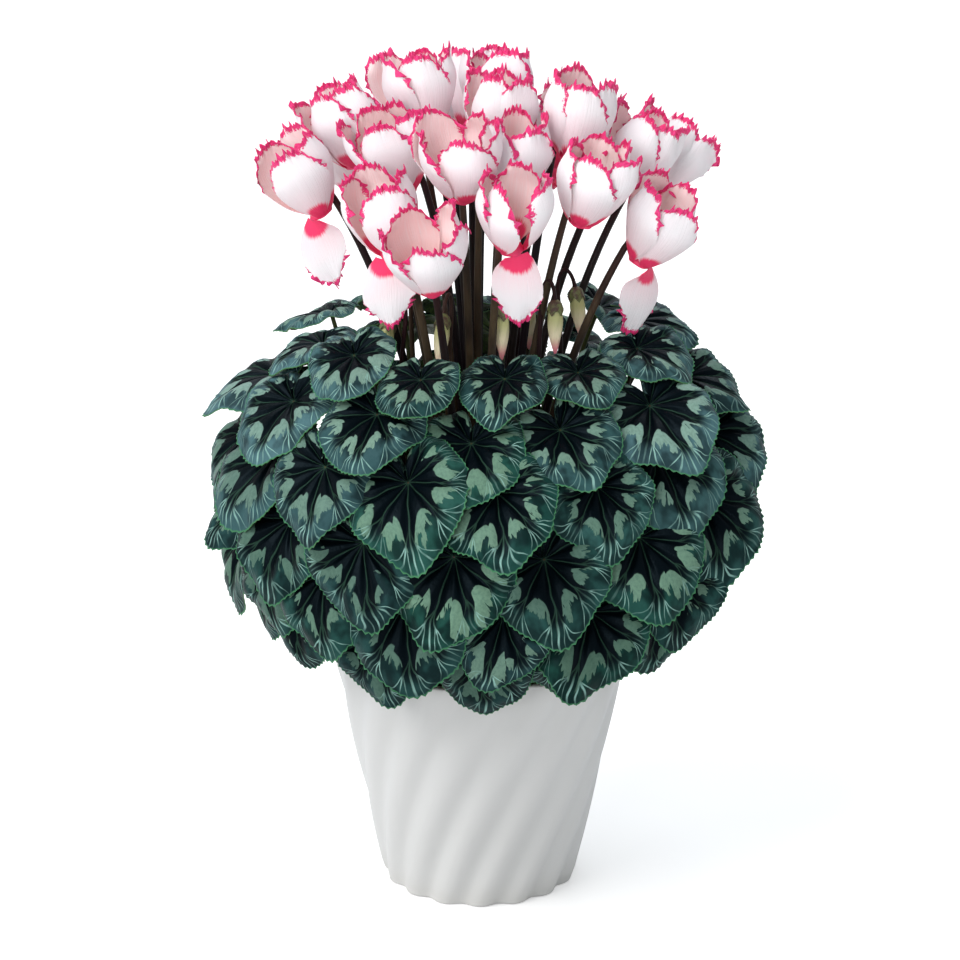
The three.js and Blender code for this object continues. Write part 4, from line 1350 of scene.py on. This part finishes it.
def leaf_tones(leaf):
    """How a leaf's colours differ from the next one's, by its place and by chance: its own draw of the
    pattern, how much painted sky sheen and how fresh its outer zone is, and how dim its silver is, dimmer on
    lower leaves as painted shade."""
    lot = leaf["lot"]
    high = float(smooth_step(LOW_LEAVES, HIGH_LEAVES, leaf["joint"].z))
    aside = min(1.0, abs(leaf["joint"].x) / OUTER_LEAVES)
    # Painted sky reflection: mostly on high leaves at the sides, with a little at random.
    painted_sheen = high * aside**2 * (0.55 + 0.8 * chance(lot, 81)) + 0.18 * chance(lot, 82)
    fresh = chance(lot, 83) ** 1.5 * (0.5 + 0.7 * high)
    # Dimmer silver at random, and more on low leaves as painted shade.
    dim_and_painted_shade = chance(lot, 84) * (1 - 0.6 * high)
    return {"draw": chance(lot, 80), "painted_sheen": min(1.0, painted_sheen), "fresh": min(1.0, fresh), "dim_and_painted_shade": dim_and_painted_shade}


class CYCLAMEN_OT_leaves(bpy.types.Operator):
    """Add the sprays of marbled heart-shaped leaves on their stalks"""

    bl_idname = "cyclamen.leaves"
    bl_label = "Marbled Leaves"

    def execute(self, context):
        look = context.scene.cyclamen_leaf
        stem_look = context.scene.cyclamen_stem
        stalk_finish = fleshy_material(
            "leaf stalk", stem_look.stalk_color, look.underside_color, stem_look.red_color)
        blank = leaf_blank()
        for finish in (leaf_top_material(look), leaf_under_material(look), leaf_edge_material(look)):
            blank.data.materials.append(finish)
        for spray in leaf_places():
            blades = join("blades", *(blade(blank, leaf, look.tooth) for leaf in spray["leaves"]))
            thicken(blades, look.thickness, under=1, rim=2)
            stalks = self.stalks(spray, stalk_finish)
            piece = join(spray["node"].replace("leaf_spray", "marbled_leaves"), blades, *stalks)
            shade(piece, 65)
            finished(piece, "leaf", spray["node"])
        discard(blank)
        return {"FINISHED"}

    def stalks(self, spray, finish):
        """The three stalks of a spray and the foot that they share."""
        tier, turn = spray["tier"], spray["turn"]
        aside = around(1, turn + 90)
        pieces = [self.foot(tier["root"], turn)]
        for order, leaf in enumerate(spray["leaves"]):
            start = around(tier["root"], turn, SOIL_TOP + FOOT_HEIGHT / 2)
            start = start + aside * (order - 1) * STALK_SPACING
            bend = leaf["basis"] @ Vector((0, 0, -tier["reach"]))
            end = leaf["basis"] @ Vector((0, 0, 0.0004))
            shares = np.linspace(0, 1, STALK_POINTS)
            radii = STALK_RADIUS * (1.05 - 0.25 * shares)
            stalk = stem_tube(bezier([start, bend, end], shares), radii, STALK_SIDES)
            note(stalk, pale=0.5 * chance(leaf["lot"], 84), upper=0.4 * chance(leaf["lot"], 85))
            pieces.append(stalk)
        for piece in pieces:
            piece.data.materials.append(finish)
            note(piece, draw=0.0, painted_sheen=0.0, fresh=0.0)
        return pieces

    def foot(self, radius, turn):
        """The stout base that a spray's stalks come from, with its root end in the soil."""
        middle = np.array(around(radius, turn, SOIL_TOP))

        def place(angle, along):
            width, rise = profile(along, FOOT_WIDTHS, FOOT_RISES)
            return middle + turned(FOOT_RADIUS * width, angle, rise)

        foot = rolled("foot", FOOT_SIDES, len(FOOT_WIDTHS) - 1, place)
        note(foot, pale=0.2, upper=0.1)
        return foot


# Flowers.
def petal_blank():
    """One flat petal: its rows lie closer together towards the fringe."""

    def crowded(share):
        return 1 - (1 - share) ** PETAL_CROWDING

    blank = grid("petal_blank", PETAL_COLUMNS, PETAL_ROWS)
    points = corners(blank)
    points[:, 1] = 2 * crowded((points[:, 1] + 1) / 2) - 1
    move_corners(blank, points)
    crowd_pattern(blank, crowded)
    return blank


def standing_form(item, across, along, shoulder, length, widest):
    """A petal that stands up: half its width, its way out from the flower's axis, and its height."""
    belly, nip, cup = 0.0142, 0.0040, 0.0014
    overlap = 0.0030 + vary(item, 25, 0.0026)
    flare = 0.0014 + vary(item, 26, 0.0046)
    half = widest * np.sin(math.pi * (0.06 + 0.69 * along)) ** 1.05
    out = PETAL_ROOT_OUT + belly * np.sin(np.minimum(along / 0.80, 1) * math.pi / 2) ** 0.85
    out = out - nip * smooth_step(0.55, 1.0, along) ** 1.3 - cup * across**2 * np.sin(math.pi * along)
    out = out * (1 + vary(item, 23, 0.01)) + overlap * across * along + flare * along**2
    return half, out, length * shoulder**1.05


def hanging_form(along, shoulder, length, widest):
    """A petal that hangs down, narrower and shorter: half its width, its way out, and its height."""
    half = 0.78 * widest * np.sin(math.pi * (0.17 + 0.65 * along**0.9))
    out = PETAL_ROOT_OUT + 0.0074 * np.sin(np.minimum(along * 1.1, 1) * math.pi / 2)
    return half, out, -0.84 * length * shoulder


def fringe_teeth(item, across):
    """How far the fringe stands up at each point: long teeth of all heights, with short ones on them."""
    long = [chance(item * 60 + k, 41) ** 1.6 * (k % 2) for k in range(PETAL_COLUMNS // 2 + 1)]
    short = [0.25 * chance(item * 60 + k, 42) for k in range(PETAL_COLUMNS + 1)]
    teeth = np.interp(np.arange(PETAL_COLUMNS + 1) / 2, np.arange(len(long)), long) + short
    return teeth[np.rint((across + 1) / 2 * PETAL_COLUMNS).astype(int)]


def twisted(bloom, turn, along, side, out):
    """A hanging petal's points, twisted so that its broad side faces the front."""
    most, cupping, fully = 0.8, 14, 0.35
    aside = np.array(bloom["basis"].to_3x3()).T @ (0, -1, 0)
    facing = math.atan2(aside[1] * math.cos(turn) - aside[0] * math.sin(turn),
                        aside[0] * math.cos(turn) + aside[1] * math.sin(turn))
    twist = max(-most, min(most, facing)) * np.sin(math.pi / 2 * np.clip(along / fully, 0, 1))
    return side * np.cos(twist), out - cupping * side**2 - side * np.sin(twist)


def petal(blank, look, bloom, index, hangs):
    """A copy of the blank, as a broad shell that stands up from the flower's mouth or hangs down from it."""
    flat = corners(blank)
    across, along = flat[:, 0], (flat[:, 1] + 1) / 2
    item = bloom["lot"] * PETALS + index
    turn = petal_turn(index)
    length = look.petal_length * (1 + vary(item, 22, PETAL_CHANGE))
    widest = look.petal_width * (1 + vary(item, 24, PETAL_CHANGE))
    shoulder = along * (1 - 0.21 * np.abs(across) ** 2.4 * along**2)
    if hangs:
        half, out, high = hanging_form(along, shoulder, length, widest)
    else:
        half, out, high = standing_form(item, across, along, shoulder, length, widest)
        turn = turn + vary(item, 27, 0.16)
    edge_top = smooth_step(0.86, 1.0, along)
    edge_side = smooth_step(0.84, 1.0, np.abs(across)) * smooth_step(0.55, 0.80, along)
    bearing = np.arctan2(across, 2 * (along - 0.5))
    phases = [2 * math.pi * chance(item, trait) for trait in range(90, 95)]
    ruffle = np.sin(15 * bearing + phases[0]) + 0.8 * np.sin(27 * bearing + phases[1])
    out = out + look.ruffle * np.maximum(edge_top, edge_side) * ruffle * 0.6
    out = out + 0.0012 * smooth_step(0.45, 1.0, along) * np.sin(4.2 * across + phases[2])
    high = high + (-1 if hangs else 1) * look.jag * (fringe_teeth(item, across) - 0.3) * edge_top
    half = half + look.jag * 0.45 * edge_side * np.sin(46 * along + phases[4])
    if hangs:
        side, out = twisted(bloom, turn, along, -half * across, out)
    else:
        bend = half * across / np.maximum(out, 0.012)
        side, out = out * np.sin(bend), out * np.cos(bend)
    x = out * math.cos(turn) - side * math.sin(turn)
    y = out * math.sin(turn) + side * math.cos(turn)
    piece = copied(blank, "petal")
    move_corners(piece, placed(np.column_stack((x, y, high)), bloom["basis"]))
    note(piece, draw=chance(item, 98))
    return piece


def flower_mouth(bloom):
    """The mouth that faces down: a short flared throat that narrows upwards, with the stigma in it."""

    def throat(turn, along):
        radius, height = profile(along, THROAT_RADII, THROAT_HEIGHTS)
        radius = radius * MM
        radius = radius * (1 + 0.05 * np.cos(PETALS * turn) * (radius > 0.004))
        return placed(turned(radius, turn, height * MM), bloom["basis"])

    def stigma(turn, along):
        radius, height = profile(along, STIGMA_RADII, STIGMA_HEIGHTS)
        return placed(turned(radius * MM, turn, height * MM), bloom["basis"])

    return (rolled("throat", THROAT_SIDES, len(THROAT_RADII) - 1, throat),
            rolled("stigma", STIGMA_SIDES, len(STIGMA_RADII) - 1, stigma))


class CYCLAMEN_OT_flowers(bpy.types.Operator):
    """Add the flowers, each with five fringed petals turned up from its mouth"""

    bl_idname = "cyclamen.flowers"
    bl_label = "Fringed Flowers"

    def execute(self, context):
        look = context.scene.cyclamen_flower
        blank = petal_blank()
        outside = petal_material(look, "petal outside", look.petal_color, look.blush_color, 0.05)
        inside = petal_material(look, "petal inside", look.inside_color, look.inside_blush_color, 0.30)
        blank.data.materials.append(outside)
        blank.data.materials.append(inside)
        rose = mouth_material(look)
        for bloom in bloom_places():
            index = bloom["index"]
            hanging = OUTERMOST_PETAL if index in DROOPING else None
            shell = join("petals", *(petal(blank, look, bloom, k, k == hanging) for k in range(PETALS)))
            thicken(shell, look.petal_thickness, under=1)
            inner = flower_mouth(bloom)
            for piece in inner:
                piece.data.materials.append(rose)
                note(piece, draw=0.0)
            piece = join(numbered("fringed_flower", index), shell, *inner)
            shade(piece, 65)
            finished(piece, "petal", numbered("bloom", index))
        discard(blank)
        return {"FINISHED"}


class CYCLAMEN_OT_buds(bpy.types.Operator):
    """Add the furled buds, with their petals wound round each other"""

    bl_idname = "cyclamen.buds"
    bl_label = "Furled Buds"

    def execute(self, context):
        finish = bud_material(context.scene.cyclamen_flower)
        for bud in bud_places():
            index = bud["index"]
            form = functools.partial(self.form, bud)
            piece = rolled(numbered("furled_bud", index), BUD_SIDES, BUD_ROWS, form)
            piece.data.materials.append(finish)
            note(piece, blush=chance(bud["lot"], 35))
            shade(piece, 50)
            finished(piece, "bud", numbered("bud", index))
        return {"FINISHED"}

    def form(self, bud, turn, along):
        """A bud's points: a spindle that hangs from the calyx, with five folds wound round it."""
        swell = np.sin(math.pi * np.clip(0.10 + 0.88 * along, 0, 1) ** 0.62) ** 0.8
        fold = (turn * PETALS / (2 * math.pi) + 1.3 * along) % 1
        radius = BUD_RADIUS * swell * (along > 0) * (along < 1) * (0.90 + 0.12 * fold)
        return placed(turned(radius, turn, -CLEARANCE - BUD_LENGTH * along), bud["basis"])


# The studio.
def softbox(name, size, place, aim, power, color=(1, 1, 1)):
    deselect()
    bpy.ops.object.light_add(type="AREA", location=place)
    lamp = bpy.context.object
    lamp.name = name
    lamp.data.shape = "DISK"
    lamp.data.size = size
    lamp.data.energy = power
    lamp.data.color = color
    lamp.rotation_euler = (Vector(aim) - Vector(place)).to_track_quat("-Z", "Y").to_euler()
    return lamp


class CYCLAMEN_OT_studio(bpy.types.Operator):
    """Add the pale floor, the soft lights and the camera"""

    bl_idname = "cyclamen.studio"
    bl_label = "Studio"

    def execute(self, context):
        look = context.scene.cyclamen_studio
        aim = Vector((0, 0, look.aim_height))
        deselect()
        bpy.ops.mesh.primitive_plane_add(size=look.floor_size)
        floor = context.object
        floor.name = "studio_floor"
        material, s, shader = new_material("studio floor", 0.6)
        tone = s.noise(s.place(), 3.0, 2.0)
        shade_color = tuple(channel * 0.985 for channel in look.floor_color)
        s.feed(shader.inputs["Base Color"], s.mix(tone, look.floor_color, shade_color))
        shader.inputs["Emission Color"].default_value = (1, 1, 1, 1)
        seen = s.add("ShaderNodeLightPath").outputs["Is Camera Ray"]
        s.feed(shader.inputs["Emission Strength"], s.math("MULTIPLY", seen, look.floor_glow))
        floor.data.materials.append(material)
        floor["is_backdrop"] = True
        deselect()
        bpy.ops.object.light_add(type="SUN", location=SUN_PLACE)
        sun = context.object
        sun.name = "main_light"
        sun.data.energy = look.sun_strength
        sun.data.angle = SUN_WIDTH
        sun.data.color = (1.0, 0.99, 0.98)
        sun.rotation_euler = (-sun.location).to_track_quat("-Z", "Y").to_euler()
        softbox("top_light", TOP_LIGHT_SIZE, TOP_LIGHT_PLACE, aim, look.top_power, (0.88, 0.94, 1.0))
        flowers = Vector((0, 0, look.aim_height + FLOWERS_OVER_AIM))
        front = softbox("flower_light", FRONT_LIGHT_SIZE, FRONT_LIGHT_PLACE, flowers, look.front_power)
        front.data.spread = FRONT_LIGHT_SPREAD
        world = bpy.data.worlds.new("pale_surround")
        world.use_nodes = True
        s = Shading(world.node_tree)
        soft = world.node_tree.nodes["Background"]
        s.feed(soft.inputs["Color"], (0.93, 0.965, 1.0))
        s.feed(soft.inputs["Strength"], look.world_strength)
        seen = s.add("ShaderNodeBackground", {"Color": (1.0, 1.0, 1.0), "Strength": 1.0})
        either = s.add("ShaderNodeMixShader", {"Fac": s.add("ShaderNodeLightPath").outputs["Is Camera Ray"]})
        s.feed(either.inputs[1], soft.outputs[0])
        s.feed(either.inputs[2], seen.outputs[0])
        s.feed(world.node_tree.nodes["World Output"].inputs["Surface"], either.outputs[0])
        context.scene.world = world
        context.scene.view_settings.view_transform = "Standard"
        back = Vector((0, -math.cos(look.elevation), math.sin(look.elevation))) * look.distance
        deselect()
        bpy.ops.object.camera_add(location=aim + back)
        camera = context.object
        camera.name = "studio_camera"
        camera.rotation_euler = (-back).to_track_quat("-Z", "Y").to_euler()
        camera.data.sensor_width = SENSOR_WIDTH
        camera.data.lens = SENSOR_WIDTH * look.distance / look.field
        context.scene.camera = camera
        return {"FINISHED"}


STEPS = (
    CYCLAMEN_OT_studio,
    CYCLAMEN_OT_pot,
    CYCLAMEN_OT_soil,
    CYCLAMEN_OT_stems,
    CYCLAMEN_OT_leaves,
    CYCLAMEN_OT_flowers,
    CYCLAMEN_OT_buds,
)


class CYCLAMEN_PT_panel(bpy.types.Panel):
    """The steps that build the plant, and their settings"""

    bl_idname = "CYCLAMEN_PT_panel"
    bl_label = "Potted Cyclamen"
    bl_space_type = "VIEW_3D"
    bl_region_type = "UI"
    bl_category = "Cyclamen"

    def draw(self, context):
        for step in STEPS:
            self.layout.operator(step.bl_idname)
        for name in SETTINGS:
            group = getattr(context.scene, name)
            box = self.layout.box()
            for prop in group.bl_rna.properties:
                if prop.identifier not in ("rna_type", "name"):
                    box.prop(group, prop.identifier)


SETTINGS = {
    "cyclamen_pot": PotSettings,
    "cyclamen_soil": SoilSettings,
    "cyclamen_stem": StemSettings,
    "cyclamen_leaf": LeafSettings,
    "cyclamen_flower": FlowerSettings,
    "cyclamen_studio": StudioSettings,
}


def register():
    for kind in (*SETTINGS.values(), *STEPS, CYCLAMEN_PT_panel):
        bpy.utils.register_class(kind)
    for name, kind in SETTINGS.items():
        setattr(bpy.types.Scene, name, bpy.props.PointerProperty(type=kind))


def unregister():
    for name in SETTINGS:
        delattr(bpy.types.Scene, name)
    for kind in reversed((*SETTINGS.values(), *STEPS, CYCLAMEN_PT_panel)):
        bpy.utils.unregister_class(kind)


def main():
    register()
    for step in STEPS:
        group, name = step.bl_idname.split(".")
        getattr(getattr(bpy.ops, group), name)()
    boxes = {"cad": CAD_BOX, "visual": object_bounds()}
    plain = {name: [list(corner) for corner in box] for name, box in boxes.items()}


if __name__ == "__main__":
    main()
